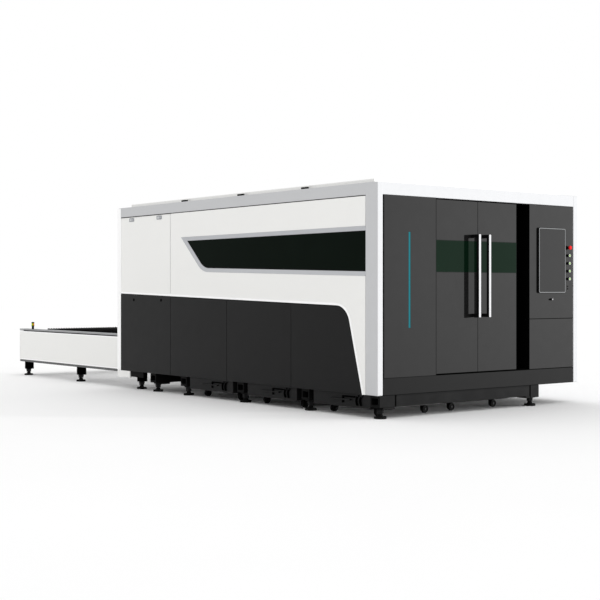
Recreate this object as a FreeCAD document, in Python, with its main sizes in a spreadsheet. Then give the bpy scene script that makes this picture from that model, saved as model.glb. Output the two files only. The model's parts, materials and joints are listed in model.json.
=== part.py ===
import FreeCAD, Part
import os
import re
import Sketcher

# Fiber laser cutting machine with an exchange table, in millimetres.
# X runs along the length, with the door end at +X and the exchange table at -X.
# The window side faces -Y. The origin is on the floor, under the middle of the whole machine.
#
# Places along the machine are written as
#   along  : distance from the door end's front plane, towards the exchange table
#   across : distance from the window side's plane, towards the cabinet side
#   z      : height above the floor

DIMENSIONS = [
    # whole machine
    ("machine_length", 7680, "front plane to the far end of the exchange table"),
    ("enclosure_length", 4780, "length of the enclosure"),
    ("enclosure_width", 2866, "width of the enclosure"),
    ("frame_height", 2200, "floor to the top of the top bands"),
    ("underside", 217, "floor to the underside of the enclosure"),
    ("panel_depth", 30, "depth of every folded enclosure panel"),
    ("seam", 4, "open seam between two panels"),
    ("seat_gap", 0.3, "clearance of a moving piece at its seat"),
    # columns, bands and roof
    ("column_face", 70, "width of a column on the end faces"),
    ("front_column", 170, "width of a front column on the side faces"),
    ("rear_column", 90, "width of a rear column on the side faces"),
    ("band_height", 117, "height of the top bands"),
    ("band_flange", 220, "width of the flange that carries the roof"),
    ("flange_plate", 10, "thickness of that flange"),
    ("roof_rise", 46, "height of the roof panel above the bands"),
    ("roof_front", 152, "roof panel's setback at the door end"),
    ("roof_side", 96, "roof panel's setback at both sides"),
    ("roof_rear", 178, "roof panel's setback at the table end"),
    ("lug_first", 1130, "front plane to the first lifting lug"),
    ("lug_pitch", 1100, "distance between lifting lugs"),
    ("lug_length", 90, "length of a lifting lug"),
    ("lug_width", 34, "width of a lifting lug"),
    ("lug_rise", 22, "height of a lifting lug"),
    # window side
    ("panel_pitch", 1130, "length of one side panel"),
    ("sweep_rise", 0.0259, "slope of the line between the light and dark panels"),
    ("sweep_base", 1035, "height of that line at the front plane"),
    ("sweep_foot", 214.5, "front plane to the foot of the line's front end"),
    ("sweep_heel", 438, "front plane to the corner of the line's front end"),
    ("sweep_radius", 200, "rounding of that corner"),
    ("window_top", 1754, "top edge of the window glass"),
    ("window_base", 1366, "bottom edge of the glass at the front plane"),
    ("window_heel", 2889, "front plane to the glass's lower rear corner"),
    ("window_rake", 42.8, "lean of the glass's rear edge, in degrees"),
    ("window_radius", 250, "rounding of the glass's lower rear corner"),
    ("window_bevel", 42, "width of the window's bevelled frame"),
    ("glass_depth", 6, "thickness of the window glass"),
    ("glass_setback", 14, "depth of the glass behind the panel's face"),
    ("latch_length", 110, "length of a rear panel latch"),
    ("latch_height", 43, "height of a rear panel latch"),
    ("latch_proud", 6, "depth of a latch in the panel"),
    ("latch_level", 2044, "height of the latches' middle"),
    ("latch_inset", 250, "panel edge to the middle of each latch"),
    # door end
    ("skirt_top", 378, "top of the front skirt"),
    ("panel_start", 82, "window side to the fixed front panel"),
    ("doors_start", 755, "window side to the doorway"),
    ("doors_meet", 1331, "window side to the line where the leaves meet"),
    ("doors_end", 1900, "window side to the end of the doorway"),
    ("door_top", 2070, "top of the door leaves"),
    ("door_foot", 390, "bottom of the door leaves"),
    ("door_glass_foot", 1371, "bottom of the glass band in the leaves"),
    ("door_glass_top", 1678, "top of the glass band in the leaves"),
    ("door_glass_depth", 8, "thickness of the glass band"),
    ("handle_reach", 100, "door face to the outer face of a handle"),
    ("handle_depth", 34, "depth of a handle's bar"),
    ("handle_width", 28, "width of a handle's bar"),
    ("handle_foot", 930, "bottom of a handle"),
    ("handle_top", 1743, "top of a handle"),
    ("handle_offset", 72, "line where the leaves meet to a handle's middle"),
    ("strip_middle", 406, "window side to the middle of the light strip"),
    ("strip_width", 22, "width of the light strip"),
    ("strip_foot", 840, "bottom of the light strip"),
    ("strip_top", 1745, "top of the light strip"),
    ("strip_depth", 10, "depth of the light strip"),
    ("jamb_width", 40, "overlap of the door frame behind the leaves"),
    ("jamb_depth", 40, "depth of the door frame"),
    ("recess_depth", 120, "depth of the dark recess beside the doors"),
    # control cabinet
    ("cabinet_start", 2096, "window side to the control cabinet"),
    ("cabinet_depth", 500, "depth of the cabinet behind its doors"),
    ("cabinet_sheet", 20, "wall of the cabinet shell"),
    ("cabinet_split", 899, "height of the seam between the cabinet's doors"),
    ("screen_start", 2224, "window side to the control screen"),
    ("screen_width", 426, "width of the control screen"),
    ("screen_foot", 1166, "bottom of the control screen"),
    ("screen_height", 679, "height of the control screen"),
    ("screen_proud", 20, "depth of the control screen"),
    ("screen_radius", 16, "corner rounding of the control screen"),
    ("buttons_across", 2712, "window side to the column of buttons"),
    ("button_level", 1315, "height of the lowest push button"),
    ("button_pitch", 82.3, "distance between push buttons"),
    ("button_radius", 10, "radius of a push button's cap"),
    ("button_stand", 9, "door face to the face of a button's cap"),
    ("button_travel", 3, "travel of a push button"),
    ("bezel_radius", 15, "radius of a button's bezel"),
    ("bezel_depth", 6, "depth of a button's bezel"),
    ("bezel_clearance", 0.15, "clearance between a cap and its bezel"),
    ("stop_level", 1645, "height of the emergency stop"),
    ("stop_radius", 22, "radius of the emergency stop's head"),
    ("stop_head", 18, "thickness of the emergency stop's head"),
    ("stop_neck", 11, "radius of the emergency stop's neck"),
    ("stop_stand", 38, "door face to the emergency stop's face"),
    ("stop_travel", 6, "travel of the emergency stop"),
    # bed
    ("bed_centre", 1130, "window side to the middle of the bed"),
    ("bed_end", 4240, "front plane to the bed's rear end"),
    ("bed_top", 560, "top of the bed's long beams"),
    ("beam_width", 390, "width of a long beam"),
    ("tube_first", 61, "front plane to the first cross tube"),
    ("tube_second", 1090, "front plane to the second cross tube"),
    ("tube_pitch", 1110, "distance between the middle cross tubes"),
    ("tube_last", 3970, "front plane to the last cross tube"),
    ("tube_width", 122, "width of a cross tube"),
    ("tube_foot", 106, "underside of a cross tube"),
    ("tube_start", 20, "window side to the end of a cross tube"),
    ("tube_bore_width", 90, "width of a cross tube's opening"),
    ("tube_bore_height", 60, "height of a cross tube's opening"),
    ("foot_block", 149, "length of the block over each foot"),
    ("foot_block_start", 70, "window side to that block"),
    ("foot_block_foot", 87, "underside of that block"),
    ("foot_across", 90, "window side to the middle of a foot"),
    ("foot_radius", 60, "radius of a levelling foot's pad"),
    ("foot_pad", 14, "thickness of a levelling foot's pad"),
    ("foot_stem", 12, "radius of a levelling foot's stem"),
    ("foot_nut", 22, "radius of a levelling foot's nut"),
    ("foot_nut_height", 18, "height of a levelling foot's nut"),
    ("base_sheet", 24, "thickness of the floor under the cabinets"),
    # gantry
    ("riser_start", 100, "window side to the gantry's rail riser"),
    ("riser_width", 140, "width of a rail riser"),
    ("riser_top", 740, "top of the rail risers"),
    ("rail_front", 544, "front plane to the front end of the gantry rails"),
    ("rail_width", 34, "width of a gantry rail"),
    ("rail_height", 35, "height of a gantry rail"),
    ("gantry_front", 620, "front plane to the gantry beam"),
    ("gantry_depth", 300, "depth of the gantry beam along the machine"),
    ("gantry_foot", 870, "underside of the gantry beam"),
    ("gantry_top", 1150, "top of the gantry beam"),
    ("truck_length", 420, "length of a gantry end truck"),
    ("carriage_width", 220, "width of the cross carriage"),
    ("carriage_depth", 80, "depth of the cross carriage"),
    ("carriage_across", 400, "window side to the carriage's middle"),
    ("carriage_overhang", 30, "height of the carriage above and below the beam"),
    ("head_width", 120, "width of the cutting head's plate"),
    ("head_depth", 30, "depth of the cutting head's plate"),
    ("head_radius", 38, "radius of the cutting head's body"),
    ("head_foot", 960, "underside of the head's body"),
    ("head_top", 1240, "top of the cutting head"),
    ("nozzle_tip", 800, "height of the nozzle's tip when raised"),
    ("nozzle_radius", 6, "radius of the nozzle's tip"),
    # laser source
    ("source_front", 2600, "front plane to the laser source"),
    ("source_length", 1100, "length of the laser source"),
    ("source_height", 700, "height of the laser source"),
    ("source_margin", 70, "clearance around the laser source, across"),
    # exchange table and pallet
    ("table_track_front", 4320, "front plane to the front end of the table's tracks"),
    ("table_start", 80, "window side to the table's side panel"),
    ("table_sheet", 20, "thickness of the table's side panels"),
    ("table_rail_foot", 190, "underside of the table's bottom rail"),
    ("table_rail_top", 220, "top of the table's bottom rail"),
    ("table_panel_top", 620, "top of the table's side panels"),
    ("table_gap", 12, "dark gap over the table's side panels"),
    ("table_cap", 20, "thickness of the table's top rails"),
    ("table_cap_width", 120, "width of the table's top rails"),
    ("table_beam_width", 120, "width of a table beam"),
    ("table_beam_foot", 440, "underside of a table beam"),
    ("table_leg_first", 4420, "front plane to the first table leg"),
    ("table_leg_pitch", 1542, "distance between the table's legs"),
    ("table_leg_width", 146, "width of a table leg across the machine"),
    ("table_leg_length", 120, "width of a table leg along the machine"),
    ("table_foot_across", 135, "window side to the middle of a table foot"),
    ("block_front", 4480, "front plane to the filler block under the side"),
    ("block_foot", 137, "underside of the filler block"),
    ("track_start", 335, "window side to a pallet track"),
    ("track_width", 40, "width of a pallet track"),
    ("track_height", 20, "height of a pallet track"),
    ("track_front", 1150, "front plane to the bed tracks' front end"),
    ("track_end", 7500, "front plane to the table tracks' rear end"),
    ("pallet_front", 4350, "front plane to the pallet's front end"),
    ("pallet_length", 3050, "length of the pallet"),
    ("pallet_start", 330, "window side to the pallet"),
    ("pallet_frame", 60, "width of the pallet's frame members"),
    ("pallet_top", 640, "top of the pallet's frame"),
    ("slat_top", 660, "top of the slats"),
    ("slat_count", 20, "number of slats"),
    ("slat_sheet", 5, "thickness of a slat"),
    ("post_along", 7300, "front plane to the signal post"),
    ("post_width", 30, "width of the signal post"),
    ("post_rise", 100, "height of the signal post"),
    # table end of the enclosure
    ("arch_start", 120, "window side to the arch over the table"),
    ("arch_top", 1000, "top of the arch"),
    ("tunnel_front", 4290, "front plane to the shutter's frame"),
    ("tunnel_sheet", 20, "thickness of the tunnel's plates"),
    ("tunnel_start", 270, "window side to the tunnel's side plate"),
    ("tunnel_foot", 600, "bottom of the tunnel's side plates"),
    ("shutter_frame_top", 1500, "top of the shutter's frame"),
    ("shutter_depth", 20, "thickness of the shutter"),
    ("shutter_foot", 1005, "bottom of the raised shutter"),
    ("shutter_height", 440, "height of the shutter"),
    ("shutter_lap", 12, "overlap of the shutter beyond the tunnel"),
    # scrap trolleys
    ("trolley_gap", 90, "cross tube to the front side of a trolley"),
    ("trolley_length", 840, "length of a trolley along the machine"),
    ("trolley_depth", 920, "depth of a trolley across the machine"),
    ("trolley_start", 30, "window side to the trolley's front wall"),
    ("trolley_foot", 85, "underside of the tray"),
    ("trolley_top", 213, "top of the tray"),
    ("trolley_sheet", 8, "wall of the tray"),
    ("trolley_second", 997, "window side to the second row of trolleys"),
    ("grip_width", 300, "width of a trolley's grip"),
    ("grip_bar", 12, "thickness of a trolley's grip"),
    ("grip_level", 150, "bottom of a trolley's grip"),
    ("grip_reach", 26, "distance of a grip from its trolley"),
    ("wheel_radius", 38.5, "radius of a trolley wheel"),
    ("wheel_width", 30, "width of a trolley wheel"),
    ("wheel_front", 70, "trolley's side to its first wheel's middle"),
    ("wheel_rear", 118, "trolley's other side to its second wheel's middle"),
    ("axle_first", 163, "trolley's front wall to its first axle"),
    ("axle_pitch", 603, "distance between a trolley's axles"),
    ("axle_radius", 8, "radius of an axle"),
    ("axle_clearance", 0.05, "clearance of an axle in its bracket"),
    ("bracket_sheet", 10, "thickness of a wheel bracket"),
    ("bracket_width", 44, "width of a wheel bracket"),
    ("bracket_gap", 6, "distance of a bracket from its wheel"),
]

FRONT = "((machine_length - handle_reach) / 2)"
BACK_FACE = "(enclosure_width - panel_depth)"
BAND_FOOT = "(frame_height - band_height)"
CABINET_EDGE = "(enclosure_width - column_face)"

doc = FreeCAD.newDocument("fiber_laser_cutting_machine")
dims = doc.addObject("Spreadsheet::Sheet", "dims")
for row, (alias, size, meaning) in enumerate(DIMENSIONS, start=1):
    dims.set(f"A{row}", meaning)
    dims.set(f"B{row}", str(size))
    dims.setAlias(f"B{row}", alias)
doc.recompute()

ALIASES = {row[0] for row in DIMENSIONS}
nodes = []


# ---------------------------------------------------------------- helpers

def linked(text):
    """An expression in which every dimension points at the sheet."""
    def point(word):
        name = word.group(0)
        return f"dims.{name}" if name in ALIASES else name
    return re.sub(r"[a-z_][a-z_0-9]*", point, text)


def bind(item, name, text):
    item.setExpression(name, linked(text))


def value(text):
    return float(dims.evalExpression(text))


def mirrored(across):
    """The same place on the other side of the bed's middle line."""
    return f"(2 * bed_centre - ({across}))"


def place(item, along, across, height):
    bind(item, "Placement.Base.x", f"{FRONT} - ({along})")
    bind(item, "Placement.Base.y", f"({across}) - enclosure_width / 2")
    bind(item, "Placement.Base.z", height)


def block(name, along, across, z):
    """A box between two places in each direction."""
    item = doc.addObject("Part::Box", name)
    bind(item, "Length", f"({along[1]}) - ({along[0]})")
    bind(item, "Width", f"({across[1]}) - ({across[0]})")
    bind(item, "Height", f"({z[1]}) - ({z[0]})")
    place(item, along[1], across[0], z[0])
    return item


def pair(name, along, across, z):
    """A box and its twin on the other side of the bed's middle line."""
    twin = (mirrored(across[1]), mirrored(across[0]))
    return [
        block(f"{name}_near", along, across, z),
        block(f"{name}_far", along, twin, z),
    ]


TURNS = {
    "x": FreeCAD.Rotation(FreeCAD.Vector(0, 1, 0), 90),
    "y": FreeCAD.Rotation(FreeCAD.Vector(1, 0, 0), -90),
    "z": FreeCAD.Rotation(),
}


def rod(name, start, radius, length, axis, tip=None):
    """A cylinder, or a cone when it has a tip, from its start along an axis."""
    item = doc.addObject("Part::Cylinder" if tip is None else "Part::Cone", name)
    item.Placement = FreeCAD.Placement(FreeCAD.Vector(), TURNS[axis])
    bind(item, "Height", length)
    if tip is None:
        bind(item, "Radius", radius)
    else:
        bind(item, "Radius1", radius)
        bind(item, "Radius2", tip)
    place(item, *start)
    return item


def fused(name, items):
    item = doc.addObject("Part::MultiFuse", name)
    item.Shapes = items
    return item


def cut(name, base, tools):
    item = doc.addObject("Part::Cut", name)
    item.Base = base
    item.Tool = tools[0] if len(tools) == 1 else fused(f"{name}_tools", tools)
    return item


def group(name, items):
    """Separate solids that belong to one sub-part."""
    item = doc.addObject("Part::Compound", name)
    item.Links = items
    return item


def node(label, item):
    item.Label = label
    nodes.append(item)
    return item


def origin_plane(body, role):
    for feature in body.Origin.OriginFeatures:
        if feature.Role == role:
            return feature
    raise ValueError(role)


def outline_sketch(body, name, role, outline):
    """A closed outline whose every corner is dimensioned from the origin."""
    sketch = body.newObject("Sketcher::SketchObject", name)
    sketch.AttachmentSupport = [(origin_plane(body, role), "")]
    sketch.MapMode = "FlatFace"
    corners = [FreeCAD.Vector(value(u), value(v), 0) for u, v in outline]
    count = len(corners)
    for index in range(count):
        sketch.addGeometry(Part.LineSegment(corners[index], corners[(index + 1) % count]), False)
    for index in range(count):
        sketch.addConstraint(Sketcher.Constraint("Coincident", index, 2, (index + 1) % count, 1))
    for index, (u, v) in enumerate(outline):
        for kind, size, text in (("DistanceX", corners[index].x, u), ("DistanceY", corners[index].y, v)):
            rule = sketch.addConstraint(Sketcher.Constraint(kind, -1, 1, index, 1, size))
            sketch.setExpression(f"Constraints[{rule}]", linked(text))
    return sketch


def round_corner(body, name, feature, corner, radius):
    """Rounds the edge that stands on one corner of an outline."""
    doc.recompute()
    u, v = value(corner[0]), value(corner[1])
    for number, edge in enumerate(feature.Shape.Edges, start=1):
        if all(abs(p.X - u) < 0.01 and abs(p.Z - v) < 0.01 for p in edge.Vertexes):
            item = body.newObject("PartDesign::Fillet", name)
            item.Base = (feature, [f"Edge{number}"])
            bind(item, "Radius", radius)
            return item
    raise ValueError(f"{body.Name} has no corner for {name}")


def side_plate(name, face, depth, outline, rounds=(), hole=None, hole_rounds=()):
    """A padded plate in a side wall; its outline is in along and z, and it is as deep as given."""
    body = doc.addObject("PartDesign::Body", name)
    body.Placement = FreeCAD.Placement(FreeCAD.Vector(), FreeCAD.Rotation(FreeCAD.Vector(0, 0, 1), 180))
    place(body, "0", face, "0")
    sketch = outline_sketch(body, f"{name}_outline", "XZ_Plane", outline)
    feature = body.newObject("PartDesign::Pad", f"{name}_pad")
    feature.Profile = sketch
    bind(feature, "Length", depth)
    for index, (corner, radius) in enumerate(rounds):
        feature = round_corner(body, f"{name}_round_{index}", feature, corner, radius)
    if hole:
        doc.recompute()
        before = feature.Shape.Volume
        opening = outline_sketch(body, f"{name}_opening", "XZ_Plane", hole)
        feature = body.newObject("PartDesign::Pocket", f"{name}_pocket")
        feature.Profile = opening
        feature.Type = "ThroughAll"
        feature.Midplane = True
        for index, (corner, radius) in enumerate(hole_rounds):
            feature = round_corner(body, f"{name}_opening_round_{index}", feature, corner, radius)
        doc.recompute()
        if feature.Shape.Volume > before - 1:
            raise ValueError(f"{name} has no opening")
    return body


# ---------------------------------------------------------------- enclosure

def corner_columns():
    columns = []
    ends = {
        "front": (("0", "panel_depth"), ("panel_depth", "front_column")),
        "rear": (
            ("enclosure_length - panel_depth", "enclosure_length"),
            ("enclosure_length - rear_column", "enclosure_length - panel_depth"),
        ),
    }
    faces = {
        "near": (("0", "column_face"), ("0", "panel_depth")),
        "far": ((CABINET_EDGE, "enclosure_width"), (BACK_FACE, "enclosure_width")),
    }
    for end, (end_along, side_along) in ends.items():
        for side, (end_across, side_across) in faces.items():
            name = f"column_{end}_{side}"
            z = ("underside", BAND_FOOT)
            end_leg = block(f"{name}_end", end_along, end_across, z)
            side_leg = block(f"{name}_side", side_along, side_across, z)
            columns.append(fused(name, [end_leg, side_leg]))
    node("corner_columns", group("columns", columns))


def top_bands():
    z = (BAND_FOOT, "frame_height")
    top = ("frame_height - flange_plate", "frame_height")
    width = ("0", "enclosure_width")
    between = ("panel_depth", BACK_FACE)
    ends = {
        "front": (("0", "panel_depth"), ("0", "band_flange")),
        "rear": (
            ("enclosure_length - panel_depth", "enclosure_length"),
            ("enclosure_length - band_flange", "enclosure_length"),
        ),
    }
    for end, (wall, flange) in ends.items():
        parts = [
            block(f"band_{end}_wall", wall, width, z), block(f"band_{end}_flange", flange, between, top),
        ]
        node(f"band_{end}", fused(f"band_{end}_body", parts))
    sides = {
        "near": (("0", "panel_depth"), ("0", "band_flange")),
        "far": ((BACK_FACE, "enclosure_width"), ("enclosure_width - band_flange", "enclosure_width")),
    }
    half = "front_column + 2 * panel_pitch"
    lengths = [
        ("first", ("panel_depth", half), ("band_flange", half)),
        ("second", (half, "enclosure_length - panel_depth"), (half, "enclosure_length - band_flange")),
    ]
    for side, (wall, flange) in sides.items():
        halves = []
        for part, wall_along, flange_along in lengths:
            name = f"band_{side}_{part}"
            pieces = [
                block(f"{name}_wall", wall_along, wall, z),
                block(f"{name}_flange", flange_along, flange, top),
            ]
            halves.append(fused(name, pieces))
        node(f"band_{side}", group(f"band_{side}_body", halves))


def roof():
    along = ("roof_front", "enclosure_length - roof_rear")
    across = ("roof_side", "enclosure_width - roof_side")
    node("roof_panel", block("roof", along, across, ("frame_height", "frame_height + roof_rise")))
    lugs = []
    for index in range(3):
        start = f"lug_first + {index} * lug_pitch - lug_length / 2"
        along = (start, f"{start} + lug_length")
        across = ("panel_depth", "panel_depth + lug_width")
        lugs.append(block(f"lug_{index}", along, across, ("frame_height", "frame_height + lug_rise")))
    node("roof_lugs", group("lugs", lugs))


def sweep(along, drop="0"):
    """Height of the line between the light and dark panels."""
    return f"(sweep_base + sweep_rise * ({along}) - ({drop}))"


PANEL_FRONT = "(front_column + seam / 2)"
PANEL_REAR = "(enclosure_length - rear_column - seam / 2)"


def seam_at(count):
    return f"(front_column + {count} * panel_pitch)"


# corners of the window's glass and of its frame, in along and z
GLASS_HEEL = ("window_heel", "(window_base + sweep_rise * window_heel)")
GLASS_TOE = f"(window_heel + (window_top - {GLASS_HEEL[1]}) / tan(window_rake))"
FRAME_SHIFT = "window_bevel / sin(window_rake)"
FRAME_HEEL_ALONG = (
    f"((window_heel + {FRAME_SHIFT} + (window_base - window_bevel - {GLASS_HEEL[1]}) / tan(window_rake))"
    " / (1 - sweep_rise / tan(window_rake)))"
)
FRAME_HEEL = (FRAME_HEEL_ALONG, f"(window_base - window_bevel + sweep_rise * {FRAME_HEEL_ALONG})")
FRAME_TOE = (
    f"(window_heel + {FRAME_SHIFT} + (window_top + window_bevel - {GLASS_HEEL[1]}) / tan(window_rake))"
)


def glass_outline(front):
    return [
        (front, f"window_base + sweep_rise * ({front})"),
        GLASS_HEEL,
        (GLASS_TOE, "window_top"),
        (front, "window_top"),
    ]


def frame_outline(front):
    return [
        (front, f"window_base - window_bevel + sweep_rise * ({front})"),
        FRAME_HEEL,
        (FRAME_TOE, "window_top + window_bevel"),
        (front, "window_top + window_bevel"),
    ]


def window_side():
    last_seam = seam_at(3)
    main_end = f"{last_seam} - seam / 2"
    outline = [
        (PANEL_FRONT, "underside"),
        ("sweep_foot", "underside"),
        ("sweep_heel", sweep("sweep_heel")),
        (main_end, sweep(main_end)),
        (main_end, BAND_FOOT),
        (PANEL_FRONT, BAND_FOOT),
    ]
    past_edge = "front_column - panel_depth"
    panel = side_plate(
        "side_panel_main_body", "0", "panel_depth", outline,
        rounds=[(outline[2], "sweep_radius")],
        hole=frame_outline(past_edge),
        hole_rounds=[(FRAME_HEEL, "window_radius + window_bevel")],
    )
    node("side_panel_main", panel)
    frame = side_plate(
        "window_frame_body", "0", "panel_depth", frame_outline(PANEL_FRONT),
        rounds=[(FRAME_HEEL, "window_radius + window_bevel")],
        hole=glass_outline(past_edge),
        hole_rounds=[(GLASS_HEEL, "window_radius")],
    )
    node("window_frame", frame)
    glass = side_plate(
        "window_glass_body", "glass_setback", "glass_depth", glass_outline(PANEL_FRONT),
        rounds=[(GLASS_HEEL, "window_radius")],
    )
    node("window_glass", glass)
    rear_start = f"{last_seam} + seam / 2"
    rear_outline = [
        (rear_start, sweep(rear_start)),
        (PANEL_REAR, sweep(PANEL_REAR)),
        (PANEL_REAR, BAND_FOOT),
        (rear_start, BAND_FOOT),
    ]
    node(
        "side_panel_rear",
        side_plate("side_panel_rear_body", "latch_proud", "panel_depth - latch_proud", rear_outline),
    )


def lower_side_panels():
    panels = []
    for index in range(4):
        start = f"{seam_at(index)} + seam / 2"
        end = PANEL_REAR if index == 3 else f"{seam_at(index + 1)} - seam / 2"
        top = [(end, sweep(end, "seam")), (start, sweep(start, "seam"))]
        foot = [(start, "underside"), (end, "underside")]
        rounds = []
        if index == 0:
            heel = ("sweep_heel + seam", sweep("sweep_heel + seam", "seam"))
            foot[0] = ("sweep_foot + seam", "underside")
            top[1] = heel
            rounds = [(heel, "sweep_radius - seam")]
        panels.append(
            side_plate(f"lower_panel_{index + 1}", "0", "panel_depth", foot + top, rounds=rounds)
        )
    node("lower_side_panels", group("lower_panels", panels))


def panel_latches():
    items = []
    for index, along in enumerate((f"{seam_at(3)} + latch_inset", f"{PANEL_REAR} - latch_inset")):
        span = (f"{along} - latch_length / 2", f"{along} + latch_length / 2")
        z = ("latch_level - latch_height / 2", "latch_level + latch_height / 2")
        items.append(block(f"latch_{index}", span, ("0", "latch_proud"), z))
    node("panel_latches", group("latches", items))


def far_side_panels():
    panels = []
    for index in range(4):
        start = f"{seam_at(index)} + seam / 2"
        end = PANEL_REAR if index == 3 else f"{seam_at(index + 1)} - seam / 2"
        panels.append(
            block(
                f"far_panel_{index}",
                (start, end),
                (BACK_FACE, "enclosure_width"),
                ("underside", BAND_FOOT),
            )
        )
    node("far_side_panels", group("far_panels", panels))


# ---------------------------------------------------------------- door end

def front_panel():
    sheet = block(
        "front_sheet", ("0", "panel_depth"), ("panel_start", "doors_start"), ("skirt_top", BAND_FOOT),
    )
    span = ("strip_middle - strip_width / 2", "strip_middle + strip_width / 2")
    z = ("strip_foot", "strip_top")
    slot = block("strip_slot", ("-strip_depth", "strip_depth"), span, z)
    node("front_panel", cut("front_panel_body", sheet, [slot]))
    node("light_strip", block("strip", ("0", "strip_depth"), span, z))


def door_portal():
    depth = ("panel_depth", "panel_depth + jamb_depth")
    deep = ("panel_depth", "panel_depth + recess_depth")
    back = ("panel_depth + recess_depth", "panel_depth + recess_depth + cabinet_sheet")
    recess_edge = "doors_end + seam / 2"
    full = ("doors_start - jamb_width", recess_edge)
    z = ("skirt_top", BAND_FOOT)
    foot = ("skirt_top", "skirt_top + jamb_width")
    head = (f"{BAND_FOOT} - jamb_width", BAND_FOOT)
    lid = ("skirt_top", "door_foot")
    parts = [
        block("jamb_left", depth, ("doors_start - jamb_width", "doors_start + jamb_width"), z),
        block("jamb_head", depth, full, head),
        block("jamb_sill", depth, full, foot),
        block("jamb_right", deep, ("doors_end - jamb_width", recess_edge), z),
        block("recess_back", back, ("doors_end - jamb_width", "cabinet_start"), z),
        block("recess_foot", deep, (recess_edge, "cabinet_start"), lid),
        block("recess_head", deep, (recess_edge, "cabinet_start"), ("door_top", BAND_FOOT)),
    ]
    node("door_portal", fused("door_portal_body", parts))


def front_skirt():
    node(
        "front_skirt",
        block("skirt", ("0", "panel_depth"), ("column_face", CABINET_EDGE), ("underside", "skirt_top")),
    )


def door_leaf(side, across):
    """One leaf with its flush glass band and its handle."""
    leaf = block(f"leaf_{side}", ("0", "panel_depth - seat_gap"), across, ("door_foot", "door_top"))
    z = ("door_glass_foot", "door_glass_top")
    recess = block(f"glass_recess_{side}", ("-door_glass_depth", "door_glass_depth"), across, z)
    node(f"door_{side}", cut(f"door_{side}_body", leaf, [recess]))
    node(f"door_{side}_glass", block(f"glass_{side}", ("0", "door_glass_depth"), across, z))
    sign = "-" if side == "left" else "+"
    middle = f"doors_meet {sign} handle_offset"
    span = (f"{middle} - handle_width / 2", f"{middle} + handle_width / 2")
    bar = block(
        f"bar_{side}",
        ("-handle_reach", "handle_depth - handle_reach"),
        span,
        ("handle_foot", "handle_top"),
    )
    arm = ("handle_depth - handle_reach", "0")
    lower = block(f"arm_low_{side}", arm, span, ("handle_foot", "handle_foot + handle_depth"))
    upper = block(f"arm_high_{side}", arm, span, ("handle_top - handle_depth", "handle_top"))
    node(f"door_{side}_handle", fused(f"handle_{side}_body", [bar, lower, upper]))


def control_cabinet():
    along = ("panel_depth", "panel_depth + cabinet_depth")
    floor = "underside + base_sheet"
    shell = block("cabinet_box", along, ("cabinet_start", CABINET_EDGE), (floor, BAND_FOOT))
    inside = ("panel_depth - cabinet_sheet", "panel_depth + cabinet_depth - cabinet_sheet")
    across = ("cabinet_start + cabinet_sheet", f"{CABINET_EDGE} - cabinet_sheet")
    bays = [
        block("bay_plinth", inside, across, (f"{floor} + cabinet_sheet", "skirt_top")),
        block(
            "bay_low",
            inside,
            across,
            ("skirt_top + cabinet_sheet", "cabinet_split - cabinet_sheet / 2"),
        ),
        block(
            "bay_high",
            inside,
            across,
            ("cabinet_split + cabinet_sheet / 2", f"{BAND_FOOT} - cabinet_sheet"),
        ),
    ]
    node("cabinet_shell", cut("cabinet_shell_body", shell, bays))
    sheet = ("0", "panel_depth - seat_gap")
    width = ("cabinet_start + seam / 2", f"{CABINET_EDGE} - seam")
    node(
        "cabinet_upper_door",
        block("upper_door", sheet, width, ("cabinet_split + seam / 2", f"{BAND_FOOT} - seam")),
    )
    node(
        "cabinet_lower_door",
        block("lower_door", sheet, width, ("skirt_top + seam", "cabinet_split - seam / 2")),
    )


def control_screen():
    """The slab is padded from the door's face, in the plane across the machine."""
    body = doc.addObject("PartDesign::Body", "control_screen_body")
    place(body, "0", "screen_start", "screen_foot")
    outline = [
        ("0", "0"), ("screen_width", "0"), ("screen_width", "screen_height"), ("0", "screen_height"),
    ]
    sketch = outline_sketch(body, "screen_outline", "YZ_Plane", outline)
    pad = body.newObject("PartDesign::Pad", "screen_pad")
    pad.Profile = sketch
    bind(pad, "Length", "screen_proud")
    doc.recompute()
    corners = []
    for number, edge in enumerate(pad.Shape.Edges, start=1):
        if abs(edge.BoundBox.XLength - value("screen_proud")) < 0.01 and edge.BoundBox.YLength < 0.01:
            corners.append(f"Edge{number}")
    rounded = body.newObject("PartDesign::Fillet", "screen_round")
    rounded.Base = (pad, corners)
    bind(rounded, "Radius", "screen_radius")
    node("control_screen", body)


def buttons():
    bezels = []
    for index in range(4):
        level = f"button_level + {index} * button_pitch"
        ring = rod(f"bezel_{index}", ("0", "buttons_across", level), "bezel_radius", "bezel_depth", "x")
        bore = rod(
            f"bezel_bore_{index}",
            ("bezel_depth", "buttons_across", level),
            "button_radius + bezel_clearance",
            "3 * bezel_depth",
            "x",
        )
        bezels.append(cut(f"bezel_ring_{index}", ring, [bore]))
        base = ("-button_travel - seat_gap", "buttons_across", level)
        node(
            f"push_button_{index + 1}",
            rod(f"cap_{index}", base, "button_radius", "button_stand - button_travel - seat_gap", "x"),
        )
    ring = rod(
        "stop_collar",
        ("0", "buttons_across", "stop_level"),
        "bezel_radius",
        "stop_travel + bezel_depth / 2",
        "x",
    )
    bore = rod(
        "stop_bore",
        ("bezel_depth", "buttons_across", "stop_level"),
        "stop_neck + bezel_clearance",
        "5 * bezel_depth",
        "x",
    )
    bezels.append(cut("stop_ring", ring, [bore]))
    node("button_bezels", group("bezels", bezels))
    neck = rod(
        "stop_neck_rod",
        ("-stop_travel - seat_gap", "buttons_across", "stop_level"),
        "stop_neck",
        "stop_stand - stop_head - stop_travel",
        "x",
    )
    head = rod(
        "stop_head_rod",
        ("stop_head - stop_stand", "buttons_across", "stop_level"),
        "stop_radius",
        "stop_head",
        "x",
    )
    node("emergency_stop", fused("emergency_stop_body", [neck, head]))


# ---------------------------------------------------------------- bed

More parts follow.
